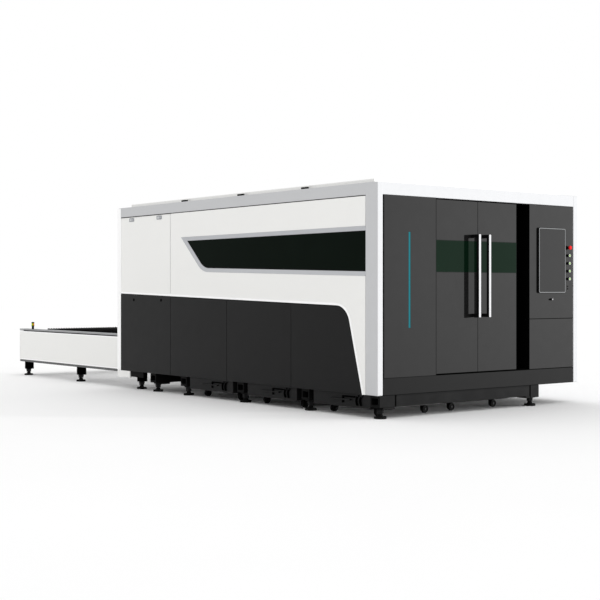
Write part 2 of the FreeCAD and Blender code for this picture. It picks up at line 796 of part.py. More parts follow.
TUBES = [
    "tube_first", "tube_second", "tube_second + tube_pitch", "tube_second + 2 * tube_pitch", "tube_last",
]


def bed_frame():
    near = ("panel_depth", "panel_depth + beam_width")
    far = (mirrored(near[1]), mirrored(near[0]))
    z = ("underside", "bed_top")
    members = [
        block("bed_beam_near", ("panel_depth", "bed_end"), near, z),
        block("bed_beam_far", ("panel_depth + cabinet_depth", "bed_end"), far, z),
    ]
    inside = (near[1], far[0])
    front_along = ("panel_depth", "panel_depth + jamb_depth")
    members.append(
        block("bed_front", front_along, (near[1], "cabinet_start"), ("underside", "skirt_top - seam"))
    )
    members.append(
        block("bed_rear", ("bed_end - jamb_depth", "bed_end"), inside, ("underside", "skirt_top"))
    )
    members += pair(
        "riser",
        ("rail_front", "bed_end"),
        ("riser_start", "riser_start + riser_width"),
        ("bed_top", "riser_top"),
    )
    track = ("track_start", "track_start + track_width")
    members += pair(
        "bed_track", ("track_front", "bed_end"), track, ("bed_top", "bed_top + track_height"),
    )
    for index, middle in enumerate(TUBES):
        along = (f"{middle} - tube_width / 2", f"{middle} + tube_width / 2")
        across = ("tube_start", mirrored("tube_start"))
        tube = block(f"tube_{index}", along, across, ("tube_foot", "underside"))
        hollow_along = (f"{middle} - tube_bore_width / 2", f"{middle} + tube_bore_width / 2")
        hollow_across = ("tube_start - tube_width", mirrored("tube_start - tube_width"))
        level = "(tube_foot + underside) / 2"
        hollow = block(
            f"tube_bore_{index}", hollow_along, hollow_across,
            (f"{level} - tube_bore_height / 2", f"{level} + tube_bore_height / 2"),
        )
        members.append(cut(f"cross_tube_{index}", tube, [hollow]))
        foot_across = ("foot_block_start", "foot_block_start + foot_block")
        members += pair(f"foot_block_{index}", along, foot_across, ("foot_block_foot", "tube_foot"))
    floor_across = (mirrored("panel_depth"), BACK_FACE)
    floor_along = ("panel_depth", "enclosure_length - rear_column")
    members.append(
        block("cabinet_floor", floor_along, floor_across, ("underside", "underside + base_sheet"))
    )
    node("bed_frame", group("bed", members))


def foot(name, along, across, top):
    middle = (along, across)
    pad = rod(
        f"{name}_pad", (*middle, "0"), "foot_radius", "foot_pad", "z", tip="foot_radius - foot_pad / 2",
    )
    stem = rod(f"{name}_stem", (*middle, "foot_pad"), "foot_stem", f"{top} - foot_pad", "z")
    nut = rod(f"{name}_nut", (*middle, f"{top} - foot_nut_height"), "foot_nut", "foot_nut_height", "z")
    return fused(name, [pad, stem, nut])


def levelling_feet():
    feet = []
    rows = [(along, "foot_across", "foot_block_foot") for along in TUBES]
    rows += [(along, "table_foot_across", "foot_block_foot") for along in table_legs()]
    for index, (along, across, top) in enumerate(rows):
        feet.append(foot(f"foot_{index}_near", along, across, top))
        feet.append(foot(f"foot_{index}_far", along, mirrored(across), top))
    node("levelling_feet", group("feet", feet))


def laser_source():
    across = (f"{mirrored('panel_depth')} + source_margin", f"{BACK_FACE} - source_margin")
    z = ("underside + base_sheet", "underside + base_sheet + source_height")
    node("laser_source", block("source", ("source_front", "source_front + source_length"), across, z))


# ---------------------------------------------------------------- gantry

RAIL_MIDDLE = "riser_start + riser_width / 2"
RAIL_TOP = "(riser_top + rail_height)"


def gantry():
    rail_across = (f"{RAIL_MIDDLE} - rail_width / 2", f"{RAIL_MIDDLE} + rail_width / 2")
    rails = pair("gantry_rail", ("rail_front", "bed_end"), rail_across, ("riser_top", RAIL_TOP))
    node("gantry_rails", group("rails", rails))
    middle = "gantry_front + gantry_depth / 2"
    truck_along = (f"{middle} - truck_length / 2", f"{middle} + truck_length / 2")
    trucks = pair(
        "truck",
        truck_along,
        ("riser_start", "riser_start + riser_width"),
        (f"{RAIL_TOP} + seat_gap", "gantry_foot"),
    )
    along = ("gantry_front", "gantry_front + gantry_depth")
    beam = block("beam", along, ("riser_start", mirrored("riser_start")), ("gantry_foot", "gantry_top"))
    node("gantry_beam", fused("gantry_beam_body", [beam, *trucks]))
    face = "(gantry_front + gantry_depth + seat_gap)"
    across = ("carriage_across - carriage_width / 2", "carriage_across + carriage_width / 2")
    z = ("gantry_foot - carriage_overhang", "gantry_top + carriage_overhang")
    node("cross_carriage", block("carriage", (face, f"{face} + carriage_depth"), across, z))
    plate_face = f"({face} + carriage_depth + seat_gap)"
    plate_across = ("carriage_across - head_width / 2", "carriage_across + head_width / 2")
    plate = block(
        "head_plate",
        (plate_face, f"{plate_face} + head_depth"),
        plate_across,
        ("head_foot", "head_top"),
    )
    body_along = f"{plate_face} + head_depth + head_radius / 2"
    middle = (body_along, "carriage_across")
    barrel = rod(
        "head_barrel", (*middle, "head_foot - head_radius"), "head_radius", "head_top - head_foot", "z",
    )
    cone_foot = "nozzle_tip"
    cone = rod(
        "head_nozzle",
        (*middle, cone_foot),
        "nozzle_radius",
        f"head_foot - head_radius - {cone_foot}",
        "z",
        tip="head_radius",
    )
    node("cutting_head", fused("cutting_head_body", [plate, barrel, cone]))


# ---------------------------------------------------------------- exchange table

def table_legs():
    return [f"table_leg_first + {index} * table_leg_pitch" for index in range(3)]


def exchange_table():
    end = "machine_length - table_sheet"
    begin = "enclosure_length + seam"
    leg_start = "(table_start + table_sheet + seam)"
    leg_across = (leg_start, f"{leg_start} + table_leg_width")
    beam_across = (f"{leg_start} + table_leg_width - table_beam_width", f"{leg_start} + table_leg_width")
    inside = (beam_across[1], mirrored(beam_across[1]))
    members = pair("table_beam", ("bed_end", end), beam_across, ("table_beam_foot", "bed_top"))
    members += pair(
        "bottom_rail", (begin, end), ("table_start", leg_start), ("table_rail_foot", "table_rail_top"),
    )
    track = ("track_start", "track_start + track_width")
    members += pair(
        "table_track", ("table_track_front", "track_end"), track, ("bed_top", "bed_top + track_height"),
    )
    for index, middle in enumerate(table_legs()):
        along = (f"{middle} - table_leg_length / 2", f"{middle} + table_leg_length / 2")
        members += pair(f"table_leg_{index}", along, leg_across, ("foot_block_foot", "table_beam_foot"))
        members.append(block(f"table_cross_{index}", along, inside, ("table_beam_foot", "bed_top")))
    cap_foot = "table_panel_top + table_gap"
    spacer = (beam_across[0], f"{beam_across[0]} + table_sheet")
    members += pair("spacer", (begin, end), spacer, ("bed_top", cap_foot))
    cap = ("table_start", "table_start + table_cap_width")
    members += pair("top_rail", (begin, "machine_length"), cap, (cap_foot, f"{cap_foot} + table_cap"))
    node("table_frame", group("table", members))
    sheet = ("table_start", "table_start + table_sheet")
    panels = pair("table_side", (begin, end), sheet, ("table_rail_top", "table_panel_top"))
    width = ("table_start", mirrored("table_start"))
    panels.append(
        block("table_end", (end, "machine_length"), width, ("table_rail_foot", "table_panel_top"))
    )
    filler = ("seam", "seam + panel_depth")
    panels.append(
        block("filler", ("block_front", "enclosure_length"), filler, ("block_foot", "underside"))
    )
    node("table_panels", group("table_sheets", panels))
    post_along = ("post_along - post_width / 2", "post_along + post_width / 2")
    post_across = ("table_start + seam", "table_start + seam + post_width")
    node(
        "signal_post",
        block(
            "post",
            post_along,
            post_across,
            (f"{cap_foot} + table_cap", f"{cap_foot} + table_cap + post_rise"),
        ),
    )


def pallet():
    z = ("bed_top + track_height + seat_gap", "pallet_top")
    along = ("pallet_front", "pallet_front + pallet_length")
    members = pair("pallet_side", along, ("pallet_start", "pallet_start + pallet_frame"), z)
    inside = ("pallet_start + pallet_frame", mirrored("pallet_start + pallet_frame"))
    members.append(block("pallet_end_front", ("pallet_front", "pallet_front + pallet_frame"), inside, z))
    far_end = "pallet_front + pallet_length"
    members.append(block("pallet_end_rear", (f"{far_end} - pallet_frame", far_end), inside, z))
    node("pallet_frame", group("pallet_members", members))
    slats = []
    across = ("pallet_start + slat_sheet", mirrored("pallet_start + slat_sheet"))
    for index in range(int(value("slat_count"))):
        middle = f"pallet_front + pallet_length * ({index} + 0.5) / slat_count"
        span = (f"{middle} - slat_sheet / 2", f"{middle} + slat_sheet / 2")
        slats.append(block(f"slat_{index}", span, across, ("pallet_top", "slat_top")))
    node("pallet_slats", group("slats", slats))


def rear_portal():
    """The end wall, the tunnel over the table and the frame that the shutter runs on."""
    wall_along = ("enclosure_length - panel_depth", "enclosure_length")
    wall = block("rear_sheet", wall_along, ("column_face", CABINET_EDGE), ("underside", BAND_FOOT))
    past = ("enclosure_length - 2 * panel_depth", "enclosure_length + panel_depth")
    arch = block(
        "arch", past, ("arch_start", mirrored("arch_start")), ("underside - panel_depth", "arch_top"),
    )
    end_wall = cut("rear_wall", wall, [arch])
    frame_along = ("tunnel_front", "tunnel_front + tunnel_sheet")
    outer = ("tunnel_start - panel_depth", mirrored("tunnel_start - panel_depth"))
    clear = ("tunnel_start + tunnel_sheet", mirrored("tunnel_start + tunnel_sheet"))
    frame = block("shutter_sheet", frame_along, outer, ("tunnel_foot", "shutter_frame_top"))
    hole_along = ("tunnel_front - panel_depth", "tunnel_front + 2 * panel_depth")
    hole = block("shutter_hole", hole_along, clear, ("tunnel_foot - panel_depth", "arch_top"))
    shutter_frame = cut("shutter_frame", frame, [hole])
    run = ("tunnel_front + tunnel_sheet", "enclosure_length - panel_depth")
    side = ("tunnel_start", "tunnel_start + tunnel_sheet")
    walls = pair("tunnel_side", run, side, ("tunnel_foot", "arch_top"))
    ceiling_across = ("tunnel_start", mirrored("tunnel_start"))
    ceiling = block("tunnel_ceiling", run, ceiling_across, ("arch_top", "arch_top + tunnel_sheet"))
    node("rear_portal", fused("rear_portal_body", [end_wall, shutter_frame, ceiling, *walls]))
    across = (
        "tunnel_start + tunnel_sheet - shutter_lap",
        mirrored("tunnel_start + tunnel_sheet - shutter_lap"),
    )
    face = "tunnel_front - seat_gap"
    z = ("shutter_foot", "shutter_foot + shutter_height")
    node("rear_shutter", block("shutter", (f"{face} - shutter_depth", face), across, z))


# ---------------------------------------------------------------- scrap trolleys

def wheelset(name, start, across):
    """An axle and its two wheels."""
    first = f"{start} + wheel_front"
    second = f"{start} + trolley_length - wheel_rear"
    parts = [
        rod(
            f"{name}_axle",
            (second, across, "wheel_radius"),
            "axle_radius",
            f"({second}) - ({first})",
            "x",
        )
    ]
    for index, middle in enumerate((first, second)):
        base = (f"{middle} + wheel_width / 2", across, "wheel_radius")
        parts.append(rod(f"{name}_wheel_{index}", base, "wheel_radius", "wheel_width", "x"))
    return fused(name, parts)


def trolley_tray(name, start, front, axles, grip_side):
    """The solids of an open tray, its wheel brackets and the grip on its outer wall."""
    along = (start, f"{start} + trolley_length")
    across = (front, f"{front} + trolley_depth")
    box = block(f"{name}_box", along, across, ("trolley_foot", "trolley_top"))
    inside_along = (f"{start} + trolley_sheet", f"{start} + trolley_length - trolley_sheet")
    inside_across = (f"{front} + trolley_sheet", f"{front} + trolley_depth - trolley_sheet")
    hollow_z = ("trolley_foot + trolley_sheet", "trolley_top + trolley_sheet")
    tray = cut(f"{name}_tray", box, [block(f"{name}_hollow", inside_along, inside_across, hollow_z)])
    brackets = []
    inboard = "(wheel_width / 2 + bracket_gap)"
    places = (
        f"{start} + wheel_front + {inboard}",
        f"{start} + trolley_length - wheel_rear - {inboard} - bracket_sheet",
    )
    for row, axle in enumerate(axles):
        for end, place_along in enumerate(places):
            label = f"{name}_bracket_{row}_{end}"
            span = (f"{axle} - bracket_width / 2", f"{axle} + bracket_width / 2")
            z = ("wheel_radius - bracket_width / 2", "trolley_foot")
            plate = block(f"{label}_plate", (place_along, f"{place_along} + bracket_sheet"), span, z)
            bore_start = (f"{place_along} + 2 * bracket_sheet", axle, "wheel_radius")
            bore = rod(
                f"{label}_bore", bore_start, "axle_radius + axle_clearance", "3 * bracket_sheet", "x",
            )
            brackets.append(cut(label, plate, [bore]))
    middle = f"{start} + trolley_length / 2"
    if grip_side == "near":
        bar_across = (f"{front} - grip_reach", f"{front} - grip_reach + grip_bar")
        root_across = (bar_across[1], front)
    else:
        wall = f"{front} + trolley_depth"
        bar_across = (f"{wall} + grip_reach - grip_bar", f"{wall} + grip_reach")
        root_across = (wall, bar_across[0])
    bar_along = (f"{middle} - grip_width / 2", f"{middle} + grip_width / 2")
    z = ("grip_level", "grip_level + grip_bar")
    grip = [block(f"{name}_grip", bar_along, bar_across, z)]
    for end, edge in enumerate((bar_along[0], f"{bar_along[1]} - grip_bar")):
        grip.append(block(f"{name}_grip_root_{end}", (edge, f"{edge} + grip_bar"), root_across, z))
    return [tray, *brackets, *grip]


def scrap_trolleys():
    for index in range(3):
        number = index + 1
        start = f"(tube_second + tube_width / 2 + trolley_gap + ({index} - 1) * tube_pitch)"
        rows = [f"trolley_start + axle_first + {row} * axle_pitch" for row in range(2)]
        tray = trolley_tray(f"near_{number}", start, "trolley_start", rows, "near")
        node(f"trolley_{number}", group(f"near_trolley_{number}", tray))
        for row, end in enumerate(("front", "rear")):
            wheels = wheelset(f"near_{number}_{end}_axle", start, rows[row])
            node(f"trolley_{number}_{end}_wheels", wheels)
        far_rows = [f"trolley_second + axle_first + {row} * axle_pitch" for row in range(2)]
        tray = trolley_tray(f"second_{number}", start, "trolley_second", far_rows, "far")
        wheels = [wheelset(f"second_{number}_axle_{row}", start, far_rows[row]) for row in range(2)]
        node(f"far_trolley_{number}", group(f"second_trolley_{number}", [*tray, *wheels]))


# ---------------------------------------------------------------- build and export

def build():
    corner_columns()
    top_bands()
    roof()
    window_side()
    lower_side_panels()
    panel_latches()
    far_side_panels()
    front_panel()
    door_portal()
    front_skirt()
    door_leaf("left", ("doors_start + seam / 2", "doors_meet - seam / 2"))
    door_leaf("right", ("doors_meet + seam / 2", "doors_end - seam / 2"))
    control_cabinet()
    control_screen()
    buttons()
    bed_frame()
    levelling_feet()
    laser_source()
    gantry()
    exchange_table()
    pallet()
    rear_portal()
    scrap_trolleys()
    doc.recompute()


def check():
    for item in doc.Objects:
        if "Invalid" in item.State or "Error" in item.State:
            raise ValueError(f"{item.Label} failed: {item.State}")
    for item in nodes:
        if item.Shape.isNull() or not item.Shape.isValid():
            raise ValueError(f"{item.Label} has no valid shape")
        if not item.Shape.Solids:
            raise ValueError(f"{item.Label} has no solid")


def export():
    os.makedirs("parts", exist_ok=True)
    for item in nodes:
        item.Shape.exportStep(f"parts/{item.Label}.step")
    print(f"{len(nodes)} nodes")


build()
check()
export()
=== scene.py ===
import json
import math

import bmesh
import bpy
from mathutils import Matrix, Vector


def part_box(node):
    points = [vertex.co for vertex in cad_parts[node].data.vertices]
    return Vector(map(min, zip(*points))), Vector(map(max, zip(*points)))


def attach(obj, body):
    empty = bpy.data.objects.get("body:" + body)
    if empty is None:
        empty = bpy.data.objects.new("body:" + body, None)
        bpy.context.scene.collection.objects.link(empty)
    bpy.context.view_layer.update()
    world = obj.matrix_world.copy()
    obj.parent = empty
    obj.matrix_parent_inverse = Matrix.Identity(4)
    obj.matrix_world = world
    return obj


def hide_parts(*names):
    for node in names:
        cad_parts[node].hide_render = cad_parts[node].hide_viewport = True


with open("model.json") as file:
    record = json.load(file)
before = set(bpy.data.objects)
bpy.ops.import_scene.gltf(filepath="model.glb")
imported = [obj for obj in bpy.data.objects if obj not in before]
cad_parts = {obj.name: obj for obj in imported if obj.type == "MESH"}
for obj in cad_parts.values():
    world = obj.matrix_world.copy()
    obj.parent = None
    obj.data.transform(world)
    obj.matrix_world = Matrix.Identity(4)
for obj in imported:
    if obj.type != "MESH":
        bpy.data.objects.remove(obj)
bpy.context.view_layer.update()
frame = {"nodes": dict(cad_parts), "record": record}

# -------- places from the frame

BOX = {name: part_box(name) for name in frame["nodes"]}
FRONT = BOX["front_panel"][1].x          # the door end's plane
REAR = BOX["corner_columns"][0].x        # the enclosure's table end
NEAR = BOX["side_panel_main"][0].y       # the window side's plane
FAR = BOX["far_side_panels"][1].y        # the cabinet side's plane
FRAME_TOP = BOX["band_near"][1].z
BAND_FOOT = BOX["band_near"][0].z
SKIRT_FOOT = BOX["front_skirt"][0].z


# -------- materials

def shader(name):
    """A new material with its node tree, its Principled shader and object coordinates."""
    material = bpy.data.materials.new(name)
    material.use_nodes = True
    tree = material.node_tree
    surface = tree.nodes["Principled BSDF"]
    place = tree.nodes.new("ShaderNodeTexCoord").outputs["Object"]
    return material, tree, surface, place


def noise(tree, place, scale, detail=3.0, stretch=(1, 1, 1)):
    """A cloud of values over the material's place."""
    mapping = tree.nodes.new("ShaderNodeMapping")
    mapping.inputs["Scale"].default_value = stretch
    tree.links.new(place, mapping.inputs["Vector"])
    node = tree.nodes.new("ShaderNodeTexNoise")
    node.inputs["Scale"].default_value = scale
    node.inputs["Detail"].default_value = detail
    tree.links.new(mapping.outputs["Vector"], node.inputs["Vector"])
    return node.outputs["Fac"]


def spread(tree, value, low, high):
    """Maps the middle of a noise to a range."""
    node = tree.nodes.new("ShaderNodeMapRange")
    node.inputs["From Min"].default_value = 0.3
    node.inputs["From Max"].default_value = 0.7
    node.inputs["To Min"].default_value = low
    node.inputs["To Max"].default_value = high
    tree.links.new(value, node.inputs["Value"])
    return node.outputs["Result"]


def tint(tree, value, colour, change):
    """A colour that varies a little, lighter and darker."""
    node = tree.nodes.new("ShaderNodeMix")
    node.data_type = "RGBA"
    node.inputs["A"].default_value = (*[c * (1 - change) for c in colour], 1)
    node.inputs["B"].default_value = (*[min(1, c * (1 + change)) for c in colour], 1)
    tree.links.new(spread(tree, value, 0, 1), node.inputs["Factor"])
    return node.outputs["Result"]


def bump(tree, surface, value, strength, depth):
    """Fine relief under the surface's light."""
    node = tree.nodes.new("ShaderNodeBump")
    node.inputs["Strength"].default_value = strength
    node.inputs["Distance"].default_value = depth
    tree.links.new(value, node.inputs["Height"])
    tree.links.new(node.outputs["Normal"], surface.inputs["Normal"])


def paint(name, colour, roughness, gloss, change=0.02, grain=700, depth=0.00008, uneven=0.03):
    """Powder coat: orange peel, faint cloudiness and uneven gloss."""
    material, tree, surface, place = shader(name)
    cloud = noise(tree, place, 1.7, 5)
    tree.links.new(tint(tree, cloud, colour, change), surface.inputs["Base Color"])
    tree.links.new(
        spread(tree, noise(tree, place, 9, 4), roughness - uneven, roughness + uneven),
        surface.inputs["Roughness"],
    )
    surface.inputs["Specular IOR Level"].default_value = gloss
    bump(tree, surface, noise(tree, place, grain, 2), 0.15, depth)
    return material


def metal(name, colour, roughness, stretch, change=0.06):
    """Brushed metal, its lines along the direction that is stretched least."""
    material, tree, surface, place = shader(name)
    lines = noise(tree, place, 60, 6, stretch)
    tree.links.new(tint(tree, lines, colour, change), surface.inputs["Base Color"])
    tree.links.new(spread(tree, lines, roughness - 0.06, roughness + 0.06), surface.inputs["Roughness"])
    surface.inputs["Metallic"].default_value = 1.0
    bump(tree, surface, lines, 0.15, 0.00005)
    return material


def plastic(name, colour, roughness, gloss=0.4, change=0.03, glow=0.0):
    """Moulded plastic, a little self-lit where it glows: a lamp's light in a lens, a painted glow on a part
    that is no lamp.
    """
    material, tree, surface, place = shader(name)
    cloud = noise(tree, place, 40, 3)
    shade = tint(tree, cloud, colour, change)
    tree.links.new(shade, surface.inputs["Base Color"])
    tree.links.new(spread(tree, cloud, roughness - 0.03, roughness + 0.03), surface.inputs["Roughness"])
    surface.inputs["Specular IOR Level"].default_value = gloss
    if glow:
        tree.links.new(shade, surface.inputs["Emission Color"])
        surface.inputs["Emission Strength"].default_value = glow
    bump(tree, surface, noise(tree, place, 900, 2), 0.1, 0.00003)
    return material


def glass(name, colour, roughness, gloss):
    """Dark laser glazing: nothing shows through it, and its face is almost even."""
    material, tree, surface, place = shader(name)
    cloud = noise(tree, place, 3, 2)
    tree.links.new(tint(tree, cloud, colour, 0.08), surface.inputs["Base Color"])
    tree.links.new(
        spread(tree, noise(tree, place, 14, 4), roughness, roughness + 0.03), surface.inputs["Roughness"],
    )
    surface.inputs["Specular IOR Level"].default_value = gloss
    bump(tree, surface, cloud, 0.05, 0.0002)
    return material


WHITE = paint("white_paint", (0.84, 0.838, 0.82), 0.45, 0.12, change=0.006)
# Brighter than the white paint; on the sweep's lip the extra brightness is a painted highlight.
BRIGHT = paint("edge_white", (0.97, 0.97, 0.97), 0.45, 0.12, change=0.004)
SILVER = paint("frame_paint", (0.545, 0.55, 0.56), 0.5, 0.04, change=0.008)
# One charcoal paint in three copies, each toned to the light on its faces as painted light and shade:
# lightest for the shaded window side, darker for the key-lit door end, darkest for the skirt.
SIDE_DARK_TONED_FOR_SHADE = paint("side_charcoal_toned_for_shade", (0.0075, 0.0075, 0.0077), 0.38, 0.10, change=0.05)
FRONT_DARK_TONED_FOR_KEY_LIGHT = paint("front_charcoal_toned_for_key_light", (0.0052, 0.0051, 0.0051), 0.5, 0.074, change=0.03, uneven=0.004)
SKIRT = paint("skirt_charcoal_toned_for_key_light", (0.0040, 0.0040, 0.0040), 0.5, 0.042, change=0.03, uneven=0.004)
BLACK = paint("black_paint", (0.0050, 0.0050, 0.0051), 0.5, 0.030, change=0.1)
# Near-black paint: the own colour of some black parts, and painted shade in the deep recess beside the
# doors, on the cabinet shell, on the cabinet doors' edges and in the plinth's gaps.
BLACK_AND_RECESS_SHADE = paint("black_and_painted_recess_shade", (0.0012, 0.0012, 0.0012), 0.8, 0.0, change=0.1)
BEVEL = paint("bevel_paint", (0.49, 0.50, 0.52), 0.4, 0.12, change=0.012)
GREY = paint("machine_grey", (0.30, 0.31, 0.33), 0.45, 0.2, change=0.04, grain=260, depth=0.0003)
RAIL = paint("galvanised_rail", (0.27, 0.275, 0.28), 0.42, 0.3, change=0.08)
EDGE = paint("edge_grey", (0.125, 0.126, 0.127), 0.5, 0.06)
SATIN = paint("satin_nickel", (0.55, 0.55, 0.56), 0.5, 0.06, change=0.02)
TRIM = paint("satin_trim", (0.22, 0.225, 0.23), 0.5, 0.06, change=0.02)
STEEL = metal("ground_steel", (0.30, 0.305, 0.31), 0.45, (0.2, 1, 1))
SLAT = paint("burnt_slat", (0.0048, 0.0046, 0.0044), 0.55, 0.05, change=0.3)
RUBBER = plastic("rubber", (0.006, 0.006, 0.006), 0.7, 0.05)
DARK_STEEL = paint("blackened_steel", (0.007, 0.007, 0.0075), 0.45, 0.1, change=0.1)
SEAL = paint("grey_seal", (0.006, 0.006, 0.006), 0.5, 0.06, change=0.03)
BEAD = paint("glazing_bead", (0.005, 0.010, 0.007), 0.5, 0.04, change=0.05)
YELLOW = plastic("yellow_plastic", (0.75, 0.30, 0.01), 0.4, 0.1)
ORANGE = plastic("orange_plastic", (0.80, 0.22, 0.02), 0.4, 0.1, glow=0.2)
RED = plastic("red_plastic", (0.66, 0.018, 0.019), 0.5, 0.02)
# Green plastic that glows a little: the lamp's light on the signal lens, a painted glow on the push buttons.
LIME = plastic("green_plastic", (0.22, 0.48, 0.005), 0.5, 0.015, glow=0.08)
TEAL = plastic("light_strip", (0.005, 0.120, 0.145), 0.5, 0.02, glow=0.08)
GLASS = glass("tinted_glass", (0.0030, 0.0058, 0.0038), 0.12, 0.014)
GREEN_GLASS = paint("green_glass", (0.0022, 0.0110, 0.0050), 0.42, 0.007, change=0.03, uneven=0.003)
SCREEN = paint("screen_glass", (0.0045, 0.0045, 0.0046), 0.48, 0.058, change=0.02, uneven=0.002)

FINISH = {
    "white_paint": WHITE, "frame_paint": SILVER, "charcoal_paint": FRONT_DARK_TONED_FOR_KEY_LIGHT, "black_paint": BLACK,
    "light_strip": TEAL, "steel": STEEL, "machine_grey": GREY,
}
SLOT = {row["node"]: row["material_slot"] for row in frame["record"]["subparts"]}
BODY = {
    node: body
    for body, members in frame["record"]["behaviour"]["bodies"].items()
    for node in members
}


# -------- mesh helpers

CUSTOM = set()       # nodes that a piece of their own stands for


def add_piece(name, bm, materials, body, node=None):
    """Turns the geometry into a piece that rides on a body, in place of a node if one is named."""
    mesh = bpy.data.meshes.new(name)
    bm.to_mesh(mesh)
    bm.free()
    for material in materials:
        mesh.materials.append(material)
    piece = bpy.data.objects.new(name, mesh)
    bpy.context.collection.objects.link(piece)
    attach(piece, body)
    if node:
        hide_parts(node)
        CUSTOM.add(node)


def sheet_body(node, whole=True):
    """A copy of a node's shape, with whole flat faces unless told otherwise."""
    bm = bmesh.new()
    bm.from_mesh(frame["nodes"][node].data)
    bmesh.ops.remove_doubles(bm, verts=bm.verts, dist=0.00002)
    if whole:
        bmesh.ops.dissolve_limit(bm, angle_limit=math.radians(1), verts=bm.verts, edges=bm.edges)
    return bm


def round_edges(bm, width, segments=3, least=35):
    """Bevels every edge sharper than an angle."""
    edges = [e for e in bm.edges if e.is_manifold and e.calc_face_angle(0) > math.radians(least)]
    if edges and width:
        bmesh.ops.bevel(
            bm, geom=edges, offset=width, segments=segments, profile=0.5,
            affect="EDGES", clamp_overlap=True,
        )


def sink(bm, axis, plane, depth):
    """Moves what lies on a plane a little way in, to leave room for what stands on it."""
    for vert in bm.verts:
        if abs(vert.co[axis] - plane) < 0.0002:
            vert.co[axis] += depth


def refined(node, width, material=None, sunk=None):
    """A node's own shape with rounded edges stands for the node."""
    bm = sheet_body(node)
    if sunk:
        sink(bm, *sunk)
    round_edges(bm, width)
    add_piece(f"{node}_finished", bm, [material or FINISH[SLOT[node]]], BODY[node], node=node)


def islands(node):
    """The lowest and highest corners of each separate solid of a node."""
    bm = sheet_body(node, whole=False)
    found = []
    seen = set()
    for start in bm.verts:
        if start in seen:
            continue
        seen.add(start)
        reach = [start]
        spots = []
        while reach:
            vert = reach.pop()
            spots.append(vert.co.copy())
            for edge in vert.link_edges:
                other = edge.other_vert(vert)
                if other not in seen:
                    seen.add(other)
                    reach.append(other)
        low = Vector([min(spot[i] for spot in spots) for i in range(3)])
        high = Vector([max(spot[i] for spot in spots) for i in range(3)])
        found.append((low, high))
    bm.free()
    return sorted(found, key=lambda pair: tuple(pair[0]))


def merge(bm, part, finish):
    """Adds a part to a piece's geometry with one finish."""
    for face in part.faces:
        face.material_index = finish
    mesh = bpy.data.meshes.new("part")
    part.to_mesh(mesh)
    part.free()
    bm.from_mesh(mesh)
    bpy.data.meshes.remove(mesh)


def slab(bm, low, high, finish=0, edge=0.002):
    """A plate or bar with rounded edges between two corners."""
    part = bmesh.new()
    bmesh.ops.create_cube(part, size=1)
    for vert in part.verts:
        vert.co = Vector([l + (c + 0.5) * (h - l) for l, c, h in zip(low, vert.co, high)])
    round_edges(part, edge, 2)
    merge(bm, part, finish)


def lathe(bm, origin, axis, profile, finish=0, steps=28, ring=False):
    """Turns a profile of (distance along the axis, radius) points about an axis.

    A ring's profile closes on itself; otherwise both ends get a flat face.
    """
    part = bmesh.new()
    turn = Vector(axis).to_track_quat("Z", "X")
    rings = []
    for along, radius in profile:
        circle = []
        for step in range(steps):
            angle = math.tau * step / steps
            spot = Vector((radius * math.cos(angle), radius * math.sin(angle), along))
            circle.append(part.verts.new(Vector(origin) + turn @ spot))
        rings.append(circle)
    uppers = rings[1:] + rings[:1] if ring else rings[1:]
    for lower, upper in zip(rings, uppers):
        for step in range(steps):
            after = (step + 1) % steps
            part.faces.new((lower[step], lower[after], upper[after], upper[step]))
    if not ring:
        part.faces.new(rings[0][::-1])
        part.faces.new(rings[-1])
    merge(bm, part, finish)


PLANES = {
    "x": lambda a, b, d: (d, a, b),
    "y": lambda a, b, d: (a, d, b),
    "z": lambda a, b, d: (a, b, d),
}


def prism(bm, outline, axis, start, end, finish=0, edge=0.001, segments=2):
    """Extrudes an outline, drawn in the two other directions, along an axis."""
    part = bmesh.new()
    place = PLANES[axis]
    first = [part.verts.new(place(a, b, start)) for a, b in outline]
    last = [part.verts.new(place(a, b, end)) for a, b in outline]
    part.faces.new(first)
    part.faces.new(last[::-1])
    count = len(outline)
    for i in range(count):
        after = (i + 1) % count
        part.faces.new((first[i], first[after], last[after], last[i]))
    bmesh.ops.recalc_face_normals(part, faces=part.faces)
    round_edges(part, edge, segments)
    merge(bm, part, finish)


def rounded_outline(a0, a1, b0, b1, radius, steps=5):
    """A rectangle's outline with round corners."""
    spots = []
    corners = ((a1, b1, 0), (a0, b1, 90), (a0, b0, 180), (a1, b0, 270))
    for a, b, turn in corners:
        middle_a = a - radius if a == a1 else a + radius
        middle_b = b - radius if b == b1 else b + radius
        for step in range(steps + 1):
            angle = math.radians(turn + 90 * step / steps)
            spots.append((middle_a + radius * math.cos(angle), middle_b + radius * math.sin(angle)))
    return spots


def hexagon(a, b, radius):
    """A nut's outline."""
    return [
        (a + radius * math.cos(math.radians(60 * i)), b + radius * math.sin(math.radians(60 * i)))
        for i in range(6)
    ]


def pan_heads(bm, spots, axis, radius=0.005, height=0.0025, finish=0):
    """Domed screw heads with a socket."""
    profile = (
        (0, radius), (height * 0.6, radius * 0.95), (height, radius * 0.6),
        (height, radius * 0.35), (height * 0.4, radius * 0.33),
    )
    for spot in spots:
        lathe(bm, spot, axis, profile, finish, steps=14)


def steps_between(start, end, count):
    """Evenly spaced values, both ends among them."""
    return [start + (end - start) * i / (count - 1) for i in range(count)]


# -------- enclosure

SUNK = 0.0015        # panels stand this far behind what is fixed to them
LIP = 0.022          # white edge along the sweep, a real lip painted brighter than the white panels as a painted highlight
GASKET = 0.010       # black joint under the edge
JOINT = 0.007        # black joint under the bands
SHEET = 0.03         # depth of the folded posts and panels
POST = 0.09          # side of the table end's posts
FRONT_POST = 0.17    # side of the door end's posts
POST_FACE = 0.07     # end face of a post

